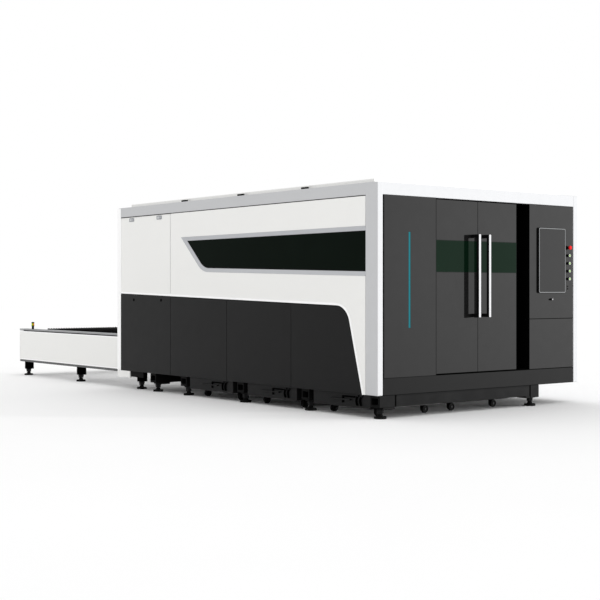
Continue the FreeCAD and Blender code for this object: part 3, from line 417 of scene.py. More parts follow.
ROUNDED = {
    "roof_lugs": 0.004, "front_panel": 0.002, "front_skirt": 0.004,
    "door_left": 0.0025, "door_right": 0.0025,
    "cabinet_shell": 0.002, "rear_portal": 0.002,
    "bed_frame": 0.002, "laser_source": 0.006, "gantry_beam": 0.006, "cross_carriage": 0.006,
    "pallet_frame": 0.003, "gantry_rails": 0.002, "cutting_head": 0.002,
    "trolley_1": 0.002, "trolley_2": 0.002, "trolley_3": 0.002,
}
# The door portal and the cabinet shell take near-black paint as painted shade of their recess; the skirt and
# the trolleys take charcoal copies toned to the light on them.
SPECIAL = {
    "front_skirt": SKIRT, "door_portal": BLACK_AND_RECESS_SHADE, "cabinet_shell": BLACK_AND_RECESS_SHADE, "pallet_frame": BLACK_AND_RECESS_SHADE,
    "trolley_1": SIDE_DARK_TONED_FOR_SHADE, "trolley_2": SIDE_DARK_TONED_FOR_SHADE, "trolley_3": SIDE_DARK_TONED_FOR_SHADE,
}


def carry_over():
    """Nodes whose shape is right keep it, and take a finish."""
    for node, piece in frame["nodes"].items():
        if node in CUSTOM:
            continue
        material = SPECIAL.get(node) or FINISH[SLOT[node]]
        if node in ROUNDED:
            refined(node, ROUNDED[node], material)
            continue
        piece.data.materials.clear()
        piece.data.materials.append(material)


def posts():
    """Folded corner posts run past the bands' ends up to the roof; the table end's pair is white."""
    foot = BOX["corner_columns"][0].z
    bm = bmesh.new()
    for x, inward, side, finish in ((FRONT, -1, FRONT_POST, 0), (REAR, 1, POST, 1)):
        for y, across in ((NEAR, 1), (FAR, -1)):
            fold = x + inward * SHEET
            wall = y + across * SHEET
            end = y + across * POST_FACE
            outline = [
                (x, y), (x, end), (fold, end), (fold, wall),
                (x + inward * side, wall), (x + inward * side, y),
            ]
            prism(bm, outline, "z", foot, FRAME_TOP - 0.001, finish, edge=0.009, segments=4)
    add_piece("corner_posts", bm, [SILVER, BRIGHT], "machine", node="corner_columns")


def bands():
    """Bands stand a little behind the posts, over a dark joint."""
    inside = SHEET * 0.4
    for node in ("band_near", "band_far", "band_front", "band_rear"):
        along = node in ("band_near", "band_far")
        bm = sheet_body(node)
        for plane, way in ((FRONT, -1), (REAR, 1)):
            sink(bm, 0, plane, way * (inside if along else SUNK))
        for plane, way in ((NEAR, 1), (FAR, -1)):
            sink(bm, 1, plane, way * (SUNK if along else inside))
        round_edges(bm, 0.008, 3)
        add_piece(f"{node}_finished", bm, [SILVER], "machine", node=node)
    bm = bmesh.new()
    for y, way in ((NEAR, 1), (FAR, -1)):
        outer = y + way * SUNK * 0.8
        slab(bm, (REAR + POST, min(outer, outer + way * 0.02), BAND_FOOT - JOINT),
             (FRONT - FRONT_POST, max(outer, outer + way * 0.02), BAND_FOOT + 0.001), 0, edge=0.0005)
    foot = BOX["lower_side_panels"][0].z
    top = BOX["lower_side_panels"][1].z
    corner = (REAR + POST + GASKET, NEAR + 0.01, top - 0.008)
    slab(bm, (REAR + POST, NEAR + SUNK * 0.6, foot), corner, 0, edge=0.0004)
    add_piece("panel_joints", bm, [BLACK], "machine")


def sweep_edge(node):
    """The white panel's edge over the dark panels: each place with its direction outwards."""
    bm = sheet_body(node)
    spots = {}
    for edge in bm.edges:
        if len(edge.link_faces) != 2:
            continue
        front = [f for f in edge.link_faces if f.normal.y < -0.99]
        side = [f for f in edge.link_faces if abs(f.normal.y) < 0.1]
        middle = (edge.verts[0].co + edge.verts[1].co) / 2
        if not front or not side or side[0].normal.z > -0.02 or not 0.23 < middle.z < 1.3:
            continue
        for vert in edge.verts:
            key = (round(vert.co.x, 5), round(vert.co.z, 5))
            spots.setdefault(key, []).append(side[0].normal.copy())
    bm.free()
    path = []
    for (x, z), normals in spots.items():
        out = sum(normals, Vector()) / len(normals)
        path.append((Vector((x, 0, z)), Vector((out.x, 0, out.z)).normalized()))
    return sorted(path, key=lambda pair: (pair[0].x, -pair[0].z))


def ribbon(bm, path, inner, outer, front, back):
    """A strip that follows a path, from one distance off it to another."""
    part = bmesh.new()
    rows = []
    for spot, out in path:
        row = []
        for distance, y in ((inner, front), (outer, front), (outer, back), (inner, back)):
            place = spot + out * distance
            row.append(part.verts.new((place.x, y, place.z)))
        rows.append(row)
    for first, second in zip(rows, rows[1:]):
        for i in range(4):
            after = (i + 1) % 4
            part.faces.new((first[i], first[after], second[after], second[i]))
    part.faces.new(rows[0])
    part.faces.new(rows[-1][::-1])
    bmesh.ops.recalc_face_normals(part, faces=part.faces)
    merge(bm, part, 0)


SEAM = FRONT - 3.566         # joint between the main and the rear white side panels
SEAM_FOOT = 1.160            # level where that joint starts, above the panels' lip
SEAM_WIDTH = 0.002
LOCKS = (4.382, 3.764)       # front plane to each key lock
LOCK_LEVEL = 1.080           # level of their middles
KEY_SLOT = (0.003, 0.012)    # width and height of a lock's slot


def side_panels():
    """White and dark panels, and along their sweep a white edge, a real lip painted brighter as a painted
    highlight, and a black joint.
    """
    refined("side_panel_main", 0.003, sunk=(1, NEAR, SUNK))
    refined("side_panel_rear", 0.003)
    # The dark panels take the charcoal copy toned lighter for this shaded side.
    refined("lower_side_panels", 0.003, SIDE_DARK_TONED_FOR_SHADE, sunk=(1, NEAR, SUNK))
    bm = bmesh.new()
    joint = bmesh.new()
    for node, front in (("side_panel_main", NEAR), ("side_panel_rear", BOX["side_panel_rear"][0].y - SUNK)):
        path = sweep_edge(node)
        ribbon(bm, path, -LIP, 0, front, front + 0.006)
        ribbon(joint, path, 0, GASKET, front + 0.001, front + 0.008)
    round_edges(bm, 0.0006, 2)
    # The lip is a real edge, painted brighter than the white panels as a painted highlight.
    add_piece("white_lip_and_painted_highlight", bm, [BRIGHT], "machine")
    add_piece("sweep_gasket", joint, [BLACK], "machine")
    bm = bmesh.new()
    start, end = SEAM - SEAM_WIDTH / 2, SEAM + SEAM_WIDTH / 2
    slab(bm, (start, NEAR + 0.0012, SEAM_FOOT), (end, NEAR + 0.004, BAND_FOOT - 0.004), 0, edge=0.0002)
    add_piece("side_seam", bm, [SILVER], "machine")


def window():
    """Dark glazing with a black border, and a surround that slopes in to it."""
    bm = sheet_body("window_glass")
    front = max((f for f in bm.faces if f.normal.y < -0.99), key=lambda f: f.calc_area())
    outline = [vert.co.copy() for vert in front.verts]
    depth = front.calc_center_median().y
    bmesh.ops.inset_individual(bm, faces=[front], thickness=0.012, depth=0)
    for face in bm.faces:
        face.material_index = 0 if face is front else 1
    add_piece("window_glazing", bm, [GLASS, BLACK], "machine", node="window_glass")

    def off_outline(spot):
        nearest = 1.0
        for a, b in zip(outline, outline[1:] + outline[:1]):
            a = Vector((a.x, a.z))
            b = Vector((b.x, b.z))
            along = b - a
            share = max(0, min(1, (spot - a).dot(along) / along.length_squared))
            nearest = min(nearest, (spot - a - along * share).length)
        return nearest

    bm = sheet_body("window_frame", whole=False)
    for vert in bm.verts:
        if vert.co.y < NEAR + 0.0005 and off_outline(Vector((vert.co.x, vert.co.z))) < 0.002:
            vert.co.y = depth - 0.0005
    add_piece("window_surround", bm, [BEVEL], "machine", node="window_frame")


def locks_and_latches():
    """Key locks in the dark panels and slide latches in the rear panel."""
    bm = bmesh.new()
    profile = (
        (0, 0.017), (0.0012, 0.017), (0.0015, 0.015), (0.0008, 0.012), (0.0008, 0.0105), (0.0013, 0.009),
    )
    across, tall = KEY_SLOT[0] / 2, KEY_SLOT[1] / 2
    for distance in LOCKS:
        x = FRONT - distance
        lathe(bm, (x, NEAR + SUNK, LOCK_LEVEL), (0, -1, 0), profile, 0)
        low = (x - across, NEAR + 0.0001, LOCK_LEVEL - tall)
        slab(bm, low, (x + across, NEAR + 0.001, LOCK_LEVEL + tall), 1, edge=0.0002)
    add_piece("key_locks", bm, [BLACK_AND_RECESS_SHADE, BLACK], "machine")
    bm = bmesh.new()
    for low, high in islands("panel_latches"):
        width = high.x - low.x
        height = high.z - low.z
        front = low.y
        outline = rounded_outline(low.x, high.x, low.z, high.z, 0.008)
        prism(bm, outline, "y", front + 0.0012, high.y, 0, edge=0.0006)
        grip = rounded_outline(
            low.x + width * 0.12, low.x + width * 0.55, low.z + height * 0.2, high.z - height * 0.2, 0.006,
        )
        prism(bm, grip, "y", front + 0.0001, front + 0.002, 1, edge=0)
        lathe(bm, (high.x - width * 0.25, front + 0.0012, (low.z + high.z) / 2), (0, -1, 0),
              ((0, 0.009), (0.0010, 0.009), (0.0012, 0.006)), 1)
    add_piece("slide_latches", bm, [GREY, SILVER], "machine", node="panel_latches")


FAR_SUNK = 0.006             # the far doors stand this far behind their fittings
LOUVRES = (0.50, 1.55)       # foot of each louvred plate
LOUVRE_RISE = 0.30
LOUVRE_HALF = 0.24           # half the width of a louvred plate
BLADES = 11
BLADE_PITCH = 0.024
LATCHES = (0.95, 1.35)       # levels of a far door's latches
HINGES = (0.40, 1.10, 1.90)  # levels of its hinges


def far_side():
    """Service doors with louvres, latches and hinges."""
    # The far doors take the grey frame paint, darker than the near side's white panels, as painted shade
    # against the key light on this side.
    refined("far_side_panels", 0.003, SILVER, sunk=(1, FAR, -FAR_SUNK))
    face = FAR - FAR_SUNK
    blades = bmesh.new()
    fittings = bmesh.new()
    for low, high in islands("far_side_panels"):
        middle = (low.x + high.x) / 2
        start, end = middle - LOUVRE_HALF, middle + LOUVRE_HALF
        for z0 in LOUVRES:
            plate = rounded_outline(start, end, z0, z0 + LOUVRE_RISE, 0.012)
            prism(blades, plate, "y", face - 0.001, face + 0.0012, 0, edge=0.0004)
            for i in range(BLADES):
                z = z0 + 0.022 + i * BLADE_PITCH
                section = (
                    (face + 0.001, z), (face + 0.0055, z),
                    (face + 0.0055, z + 0.003), (face + 0.001, z + 0.016),
                )
                prism(blades, section, "x", start + 0.025, end - 0.025, 0, edge=0.0003)
                # A black strip under each blade: painted shade of the blade's opening.
                slab(blades, (start + 0.03, face + 0.001, z - 0.006), (end - 0.03, face + 0.0016, z - 0.001),
                     1, edge=0.0001)
        edge = high.x - 0.07
        for z in LATCHES:
            plate = rounded_outline(edge - 0.022, edge + 0.022, z - 0.06, z + 0.06, 0.010)
            prism(fittings, plate, "y", face - 0.001, face + 0.003, 0, edge=0.0006)
            corner = (edge + 0.012, face + 0.0058, z + 0.02)
            slab(fittings, (edge - 0.012, face + 0.002, z - 0.045), corner, 1, edge=0.0015)
            keyhole = ((0, 0.009), (0.0025, 0.009), (0.003, 0.006))
            lathe(fittings, (edge, face + 0.002, z + 0.04), (0, 1, 0), keyhole, 1)
        knuckles = ((0, 0.0038), (0.0395, 0.0038), (0.040, 0.0025), (0.041, 0.0038), (0.08, 0.0038))
        for z in HINGES:
            lathe(fittings, (low.x + 0.004, face + 0.002, z - 0.04), (0, 0, 1), knuckles, 1, steps=12)
    add_piece("side_louvres", blades, [SILVER, BLACK], "machine")
    add_piece("side_door_fittings", fittings, [BLACK, GREY], "machine")


ROOF_SUNK = 0.003            # the roof sheets stand this far below the box's top
STRIP = 0.030                # half the width of a joint strip


def roof():
    """Roof sheets with joint strips and fixing screws."""
    low, high = BOX["roof_panel"]
    refined("roof_panel", 0.008, WHITE, sunk=(2, high.z, -ROOF_SUNK))
    bm = bmesh.new()
    face = high.z - ROOF_SUNK
    rows = steps_between(low.y + 0.08, high.y - 0.08, 9)
    for x in steps_between(low.x + 0.9, high.x - 0.9, 4):
        corner = (x + STRIP, high.y - 0.02, face + 0.001)
        slab(bm, (x - STRIP, low.y + 0.02, face - 0.001), corner, 0, edge=0.0006)
        spots = [(x + side, y, face + 0.0008) for side in (-0.02, 0.02) for y in rows]
        pan_heads(bm, spots, (0, 0, 1), height=0.0018, finish=1)
    add_piece("roof_joints", bm, [BRIGHT, STEEL], "machine")


# -------- door end

def handles():
    """Flat bars on standoffs: satin front, black sides; the black on the sides and standoffs is painted
    shade.
    """
    for side in ("left", "right"):
        node = f"door_{side}_handle"
        bm = sheet_body(node)
        round_edges(bm, 0.0012, 2)
        front = BOX[node][1].x
        # Faces behind the front take black: painted shade on the sides and standoffs.
        for face in bm.faces:
            level = face.calc_center_median().x
            face.material_index = 1 if level > front - 0.0015 else 0
        add_piece(f"{node}_finished", bm, [BLACK, SATIN], BODY[node], node=node)


def door_details():
    """Beads round the green glass, fixing screws behind it, and the seal where the leaves meet."""
    for side in ("left", "right"):
        node = f"door_{side}_glass"
        low, high = BOX[node]
        bm = sheet_body(node)
        front = max((f for f in bm.faces if f.normal.x > 0.99), key=lambda f: f.calc_area())
        bmesh.ops.inset_individual(bm, faces=[front], thickness=0.0035, depth=0)
        for face in bm.faces:
            face.material_index = 0 if face is front else 1
        add_piece(f"{node}_finished", bm, [GREEN_GLASS, BEAD], BODY[node], node=node)
        bm = bmesh.new()
        back = BOX[f"door_{side}"][0].x
        rows = steps_between(low.y + 0.06, high.y - 0.06, 4)
        spots = [(back, y, z) for y in rows for z in (low.z - 0.03, high.z + 0.03)]
        pan_heads(bm, spots, (-1, 0, 0), finish=0)
        add_piece(f"door_{side}_screws", bm, [STEEL], f"door_{side}")
    low, high = BOX["door_left"]
    bm = bmesh.new()
    corner = (high.x - 0.0012, high.y + 0.0024, high.z - 0.004)
    slab(bm, (high.x - 0.024, high.y - 0.0002, low.z + 0.004), corner, 0, edge=0.0004)
    add_piece("door_seal", bm, [SEAL], "door_left")


KNOB = (2.432, 1.100)        # window side to the cabinet's knob lock, and its level
PORT_ACROSS = 2.702          # window side to the ports
PORTS = (1.235, 1.210)       # their levels


def control_panel():
    """Screen with a silver edge line, and a knob lock and two ports in the door."""
    low, high = BOX["control_screen"]
    bm = bmesh.new()
    outline = rounded_outline(low.y, high.y, low.z, high.z, 0.018)
    prism(bm, outline, "x", low.x, high.x - 0.001, 0, edge=0.001)
    trim = rounded_outline(low.y + 0.004, high.y - 0.004, low.z + 0.004, high.z - 0.004, 0.015)
    prism(bm, trim, "x", high.x - 0.002, high.x - 0.0004, 1, edge=0.0003)
    face = rounded_outline(low.y + 0.010, high.y - 0.010, low.z + 0.010, high.z - 0.010, 0.011)
    prism(bm, face, "x", high.x - 0.0015, high.x, 2, edge=0.0003)
    body = BODY["control_screen"]
    add_piece("screen_unit", bm, [BLACK, TRIM, SCREEN], body, node="control_screen")
    door = BOX["cabinet_upper_door"][1].x
    bm = bmesh.new()
    y, z = NEAR + KNOB[0], KNOB[1]
    lathe(bm, (door, y, z), (1, 0, 0), ((0, 0.0115), (0.006, 0.0115), (0.008, 0.010), (0.022, 0.0095)), 1)
    lathe(bm, (door, y, z), (1, 0, 0), ((0.022, 0.0075), (0.027, 0.0075), (0.028, 0.006)), 0)
    slab(bm, (door + 0.0275, y - 0.0008, z - 0.004), (door + 0.0285, y + 0.0008, z + 0.004), 1, edge=0.0002)
    socket = ((0, 0.008), (0.002, 0.008), (0.003, 0.006), (0.001, 0.0045))
    for z in PORTS:
        lathe(bm, (door, NEAR + PORT_ACROSS, z), (1, 0, 0), socket, 1)
    add_piece("cabinet_lock_and_ports", bm, [SATIN, BLACK], "cabinet_upper_door")


def cabinet_doors():
    """Steel doors whose edge faces beside the recess take near-black paint as painted shade of the recess.
    """
    for node in ("cabinet_upper_door", "cabinet_lower_door"):
        bm = sheet_body(node)
        round_edges(bm, 0.002, 2)
        # Faces towards the recess take near-black paint: painted shade of the recess.
        for face in bm.faces:
            face.material_index = 1 if face.normal.y < -0.9 else 0
        add_piece(f"{node}_finished", bm, [FRONT_DARK_TONED_FOR_KEY_LIGHT, BLACK_AND_RECESS_SHADE], node, node=node)


PLINTH_FOOT = 0.108          # level of the end blocks' foot


def plinth():
    """End blocks of the front cross tube, with a dark gap drawn as a near-black strip of painted shade, and
    the cover by the table end.
    """
    bm = bmesh.new()
    top = SKIRT_FOOT
    blocks = (
        # back, front; from the window side, to; foot, top; finish, edge
        # Finish 1 marks the near-black strips: painted shade of the gaps.
        ((0, 0.004), (0.024, 0.216), (PLINTH_FOOT, top), 0, 0.0015),
        ((-0.003, 0.001), (0.220, 0.236), (PLINTH_FOOT, top), 1, 0.0003),
        ((0, 0.006), (2.110, 2.236), (0.090, top), 0, 0.0015),
        ((-0.003, 0.001), (2.098, 2.108), (PLINTH_FOOT, top), 1, 0.0003),
        ((-0.003, 0.003), (0.240, 2.094), (top - 0.012, top - 0.004), 0, 0.0012),
        ((-4.478, -4.180), (0.012, 0.032), (0.150, top), 0, 0.003),
    )
    for (x0, x1), (y0, y1), (z0, z1), finish, edge in blocks:
        slab(bm, (FRONT + x0, NEAR + y0, z0), (FRONT + x1, NEAR + y1, z1), finish, edge=edge)
    add_piece("plinth_blocks", bm, [BLACK, BLACK_AND_RECESS_SHADE], "machine")


BARREL = 0.024               # how far the push buttons stand out of the door
RIM = 0.003                  # depth of a barrel's silver rim
COLLAR = 0.0095              # depth of the black collar behind the stop's head; its black is partly painted shade
HEAD = 0.018                 # thickness of the stop's head


def button_caps():
    """Green caps with a painted glow, each on its own body."""
    door = BOX["cabinet_upper_door"][1].x
    for index in range(1, 5):
        node = f"push_button_{index}"
        low, high = BOX[node]
        middle = (low + high) / 2
        radius = (high.z - low.z) / 2
        length = BARREL + 0.001 - (low.x - door)
        cap = bmesh.new()
        profile = (
            (0, radius * 0.98), (length - 0.004, radius * 0.98), (length - 0.002, radius * 0.92),
            (length - 0.0006, radius * 0.75), (length, radius * 0.35),
        )
        lathe(cap, (low.x, middle.y, middle.z), (1, 0, 0), profile, 0)
        add_piece(f"{node}_cap", cap, [LIME], node, node=node)


def button_barrels():
    """Black barrels with silver rims, and the collar of the stop; their black is partly their own colour and
    partly painted shade beside the buttons.
    """
    bm = bmesh.new()
    door = BOX["cabinet_upper_door"][1].x
    rings = [pair for pair in islands("button_bezels") if pair[1].z - pair[0].z > 0.01]
    cap_radius = (BOX["push_button_1"][1].z - BOX["push_button_1"][0].z) / 2
    for low, high in rings:
        middle = (low + high) / 2
        place = (door, middle.y, middle.z)
        outer = (high.z - low.z) / 2
        if middle.z > BOX["emergency_stop"][0].z:
            inner = outer * 0.72
            collar = (
                (0, outer), (COLLAR - 0.001, outer), (COLLAR, outer - 0.001), (COLLAR, inner), (0, inner),
            )
            lathe(bm, place, (1, 0, 0), collar, 1, ring=True)
            continue
        inner = cap_radius + 0.0004
        seat = BARREL - RIM
        barrel = ((0, outer), (seat, outer), (seat, inner), (0, inner))
        lathe(bm, place, (1, 0, 0), barrel, 1, ring=True)
        rim = (
            (seat, outer), (BARREL - 0.0005, outer), (BARREL, outer - 0.0006),
            (BARREL, inner), (seat, inner),
        )
        lathe(bm, place, (1, 0, 0), rim, 0, ring=True)
    add_piece("bezel_rings", bm, [SATIN, BLACK], BODY["button_bezels"], node="button_bezels")


def stop_button():
    """Red mushroom head with a yellow rim behind it, on a black neck."""
    low, high = BOX["emergency_stop"]
    middle = (low + high) / 2
    radius = (high.z - low.z) / 2
    length = high.x - low.x
    bm = bmesh.new()
    place = (low.x, middle.y, middle.z)
    back = length - HEAD
    lathe(bm, place, (1, 0, 0), ((0, radius * 0.40), (back, radius * 0.40)), 1)
    rim = ((back - 0.0008, radius * 0.80), (back, radius * 0.94), (back + 0.001, radius * 0.94))
    lathe(bm, place, (1, 0, 0), rim, 2)
    profile = (
        (back + 0.001, radius * 0.96), (length - 0.012, radius), (length - 0.007, radius * 0.98),
        (length - 0.003, radius * 0.84), (length - 0.0008, radius * 0.5), (length, radius * 0.2),
    )
    lathe(bm, place, (1, 0, 0), profile, 0)
    node = "emergency_stop"
    add_piece("stop_mushroom", bm, [RED, BLACK, YELLOW], node, node=node)


# -------- bed and feet

THREAD = 0.004               # pitch of a foot's thread


def feet():
    """Rubber pad, hub, lock nuts and a stout threaded stem."""
    bm = bmesh.new()
    for low, high in islands("levelling_feet"):
        middle = (low + high) / 2
        radius = (high.x - low.x) / 2
        top = high.z
        profile = (
            (0, radius * 0.97), (0.003, radius), (0.018, radius), (0.022, radius * 0.93),
            (0.024, radius * 0.62), (0.027, radius * 0.44), (0.040, radius * 0.42), (0.045, radius * 0.34),
        )
        lathe(bm, (middle.x, middle.y, 0), (0, 0, 1), profile, 0)
        stem = [(0.040, 0.0155)]
        level = 0.044
        while level < top - 0.003:
            stem += [(level, 0.0165), (level + THREAD / 2, 0.0145)]
            level += THREAD
        stem.append((top, 0.0155))
        lathe(bm, (middle.x, middle.y, 0), (0, 0, 1), stem, 1, steps=16)
        for z0, z1, size in ((0.048, 0.070, 0.032), (top - 0.016, top - 0.001, 0.036)):
            prism(bm, hexagon(middle.x, middle.y, size), "z", z0, z1, 1, edge=0.0015)
    add_piece("machine_feet", bm, [RUBBER, DARK_STEEL], "machine", node="levelling_feet")


STUB = 0.055                 # visible length of an axle at each end
TRAY_FOOT = 0.0845           # all below this is wheels and brackets
AXLE = 0.0385                # level of the axles
WHEEL = 0.030                # width of a wheel
BRACKET = 0.006              # half of a bracket's thickness
CLEARANCE = 0.005            # bracket to wheel
FORK = 0.030                 # half the width of a fork plate
PULL_BAR = (0.397, 0.215)    # tray's door-end side to the ends of its pull bar
LEVERS = (0.205, 0.150)      # the same side to the two levers
BAR_FOOT = 0.122             # levels of the bar: end of its bent part, underside and top
BAR_UNDER = 0.178
BAR_TOP = 0.192
LEVER_MIDDLE = 0.150         # level of a lever's middle


def wheel(bm, x, middle, radius, finish=0):
    """A wheel with a tread, a recessed web and a hub."""
    width = WHEEL
    profile = (
        (0.002, 0.009), (0.001, 0.012), (0.001, 0.016), (0.006, 0.017), (0.006, radius * 0.72),
        (0, radius * 0.76), (0, radius * 0.93), (0.003, radius), (width - 0.003, radius),
        (width, radius * 0.93), (width, radius * 0.76), (width - 0.006, radius * 0.72),
        (width - 0.006, 0.017), (width - 0.001, 0.016), (width - 0.001, 0.012), (width - 0.002, 0.009),
    )
    lathe(bm, (x - width / 2, middle.y, middle.z), (1, 0, 0), profile, finish)


def fork(bm, x, middle, top, way):
    """A plate with a round foot beside a wheel, and the axle's bolt through it."""
    outline = [(middle.y - FORK, top), (middle.y - FORK, middle.z)]
    for step in range(1, 12):
        angle = math.radians(180 + 15 * step)
        outline.append((middle.y + FORK * math.cos(angle), middle.z + FORK * math.sin(angle)))
    outline += [(middle.y + FORK, middle.z), (middle.y + FORK, top)]
    prism(bm, outline, "x", x - 0.0055, x + 0.0055, 0, edge=0.001)
    bolt = ((0, 0.009), (0.004, 0.009), (0.006, 0.006))
    lathe(bm, (x + way * 0.005, middle.y, middle.z), (way, 0, 0), bolt, 1, steps=12)


def trolleys():
    """Wheels in forks, a bent pull bar, and two release levers on each scrap trolley."""
    for name in ("trolley_1", "trolley_2", "trolley_3", "far_trolley_1", "far_trolley_2", "far_trolley_3"):
        tray_low, tray_high = max(
            islands(name), key=lambda pair: pair[1].x - pair[0].x + pair[1].y - pair[0].y,
        )
        plates = [p for p in islands(name) if p[1].x - p[0].x < 0.02]
        bm = bmesh.new()
        top = tray_low.z + 0.001
        for low, high in plates:
            middle = (low + high) / 2
            hub = Vector((middle.x, middle.y, AXLE))
            fork(bm, middle.x, hub, top, 1 if middle.x > (tray_low.x + tray_high.x) / 2 else -1)
        add_piece(f"{name}_forks", bm, [BLACK, DARK_STEEL], name)
        bm = bmesh.new()
        way = 1 if name.startswith("far") else -1
        face = tray_high.y if way > 0 else tray_low.y
        bar(bm, tray_high.x - PULL_BAR[0], tray_high.x - PULL_BAR[1], face, way)
        for distance in LEVERS:
            lever(bm, tray_high.x - distance, face, way)
        add_piece(f"{name}_pull_and_levers", bm, [BLACK_AND_RECESS_SHADE, DARK_STEEL], name)
        if name.startswith("far"):
            far_trolley(name)
        for end in ("front", "rear"):
            node = f"{name}_{end}_wheels"
            if node not in BOX:
                continue
            low, high = BOX[node]
            middle = (low + high) / 2
            bm = bmesh.new()
            for x in wheel_places(islands(name)):
                wheel(bm, x, middle, (high.z - low.z) / 2)
            axle_stubs(bm, low.x, high.x, middle)
            add_piece(f"{node}_finished", bm, [RUBBER, DARK_STEEL], BODY[node], node=node)


def axle_stubs(bm, start, end, middle, finish=1):
    """The visible ends of an axle; each passes through a wheel and its bracket."""
    profile = ((0, 0.0075), (0.001, 0.008), (STUB - 0.001, 0.008), (STUB, 0.0075))
    lathe(bm, (start, middle.y, middle.z), (1, 0, 0), profile, finish, steps=16)
    lathe(bm, (end, middle.y, middle.z), (-1, 0, 0), profile, finish, steps=16)


def far_trolley(name):
    """A tray of the second row with its four wheels."""
    solids = islands(name)
    axles = [pair for pair in solids if pair[1].z < 0.08 and pair[1].x - pair[0].x > 0.5]
    bm = sheet_body(name)
    gone = [vert for vert in bm.verts if vert.co.z < TRAY_FOOT]
    bmesh.ops.delete(bm, geom=gone, context="VERTS")
    round_edges(bm, 0.002)
    piece_mesh = bmesh.new()
    merge(piece_mesh, bm, 0)
    for low, high in axles:
        middle = (low + high) / 2
        for x in wheel_places(solids):
            wheel(piece_mesh, x, middle, (high.z - low.z) / 2, finish=1)
        axle_stubs(piece_mesh, low.x, high.x, middle, 2)
    add_piece(f"{name}_finished", piece_mesh, [BLACK, RUBBER, DARK_STEEL], name, node=name)


def wheel_places(solids):
    """The middles of a trolley's wheels along the machine, outboard of its brackets."""
    plates = sorted({round((low.x + high.x) / 2, 4) for low, high in solids if high.x - low.x < 0.02})
    gap = BRACKET + CLEARANCE + WHEEL / 2
    return (plates[0] - gap, plates[-1] + gap)


def bar(bm, x0, x1, face, way):
    """A flat bar across the tray's front with one end turned down."""
    ends = sorted((face, face + way * 0.012))
    outline = [
        (x0, BAR_FOOT), (x0 + 0.014, BAR_FOOT), (x0 + 0.014, BAR_UNDER), (x1, BAR_UNDER), (x1, BAR_TOP),
        (x0 + 0.004, BAR_TOP), (x0, BAR_TOP - 0.004),
    ]
    prism(bm, outline, "y", ends[0], ends[1], 0, edge=0.0015)


def lever(bm, x, face, way):
    """A curved release lever on a pivot."""
    ends = sorted((face, face + way * 0.014))
    inner = []
    outer = []
    for step in range(9):
        angle = math.radians(112 + 15 * step)
        inner.append((x + 0.052 + 0.034 * math.cos(angle), LEVER_MIDDLE + 0.047 * math.sin(angle)))
        outer.append((x + 0.052 + 0.048 * math.cos(angle), LEVER_MIDDLE + 0.058 * math.sin(angle)))
    prism(bm, inner + outer[::-1], "y", ends[0], ends[1], 0, edge=0.0012)
    pivot = ((0, 0.008), (0.014, 0.008), (0.016, 0.006))
    lathe(bm, (x + 0.036, face, LEVER_MIDDLE + 0.048), (0, way, 0), pivot, 1, steps=14)


# -------- exchange table

TOOTH_PITCH = 0.040          # along a slat
TOOTH = 0.010                # depth of a slat's teeth
SLAT_HALF = 0.002            # half a slat's thickness
TAB = 0.006                  # thickness of the tab at a slat's end


def slats():
    """Thin plates with a saw-tooth upper edge."""
    bm = bmesh.new()
    for low, high in islands("pallet_slats"):
        teeth = round((high.y - low.y) / TOOTH_PITCH)
        step = (high.y - low.y) / teeth
        middle = (low.x + high.x) / 2
        outline = [(low.y, low.z)]
        for i in range(teeth):
            y = low.y + i * step
            outline += [(y, high.z - TOOTH), (y + step * 0.45, high.z), (y + step * 0.55, high.z)]
        outline += [(high.y, high.z - TOOTH), (high.y, low.z)]
        prism(bm, outline, "x", middle - SLAT_HALF, middle + SLAT_HALF, 0, edge=0)
        for y in (low.y, high.y - TAB):
            slab(bm, (low.x, y, low.z), (high.x, y + TAB, high.z - 0.006), 0, edge=0.0008)
    add_piece("sawtooth_slats", bm, [SLAT], "pallet", node="pallet_slats")


LEG_TOP = 0.186              # where the slimmer part of the table's legs starts
LEG_SHARE = 0.68             # its width against the leg's upper part
LEG_BACKS = (4.480, 6.022, 7.564)   # front plane to the back of each pair of legs
LEG_SIDES = (0.104, 2.156)   # window side to the outer faces of the legs
TOP_RAILS = 0.631            # all above this is the grey rails
LOW_RAIL = (0.1895, 0.2205)  # foot and top of the rail under the side panels


def table_panels():
    """White panels with folded lips."""
    top = BOX["table_panels"][1].z
    bm = sheet_body("table_panels")
    round_edges(bm, 0.003)
    add_piece("table_cladding", bm, [WHITE], "machine", node="table_panels")
    side_low = min((p for p in islands("table_panels") if p[1].z > 0.5), key=lambda p: p[0].y)[0]
    bm = bmesh.new()
    for z0, z1 in ((side_low.z + 0.030, side_low.z + 0.044), (top - 0.014, top - 0.001)):
        corner = (REAR - 0.006, side_low.y + 0.004, z1)
        slab(bm, (side_low.x + 0.002, side_low.y - 0.002, z0), corner, 0, edge=0.0015)
    add_piece("table_lips", bm, [BRIGHT], "machine")


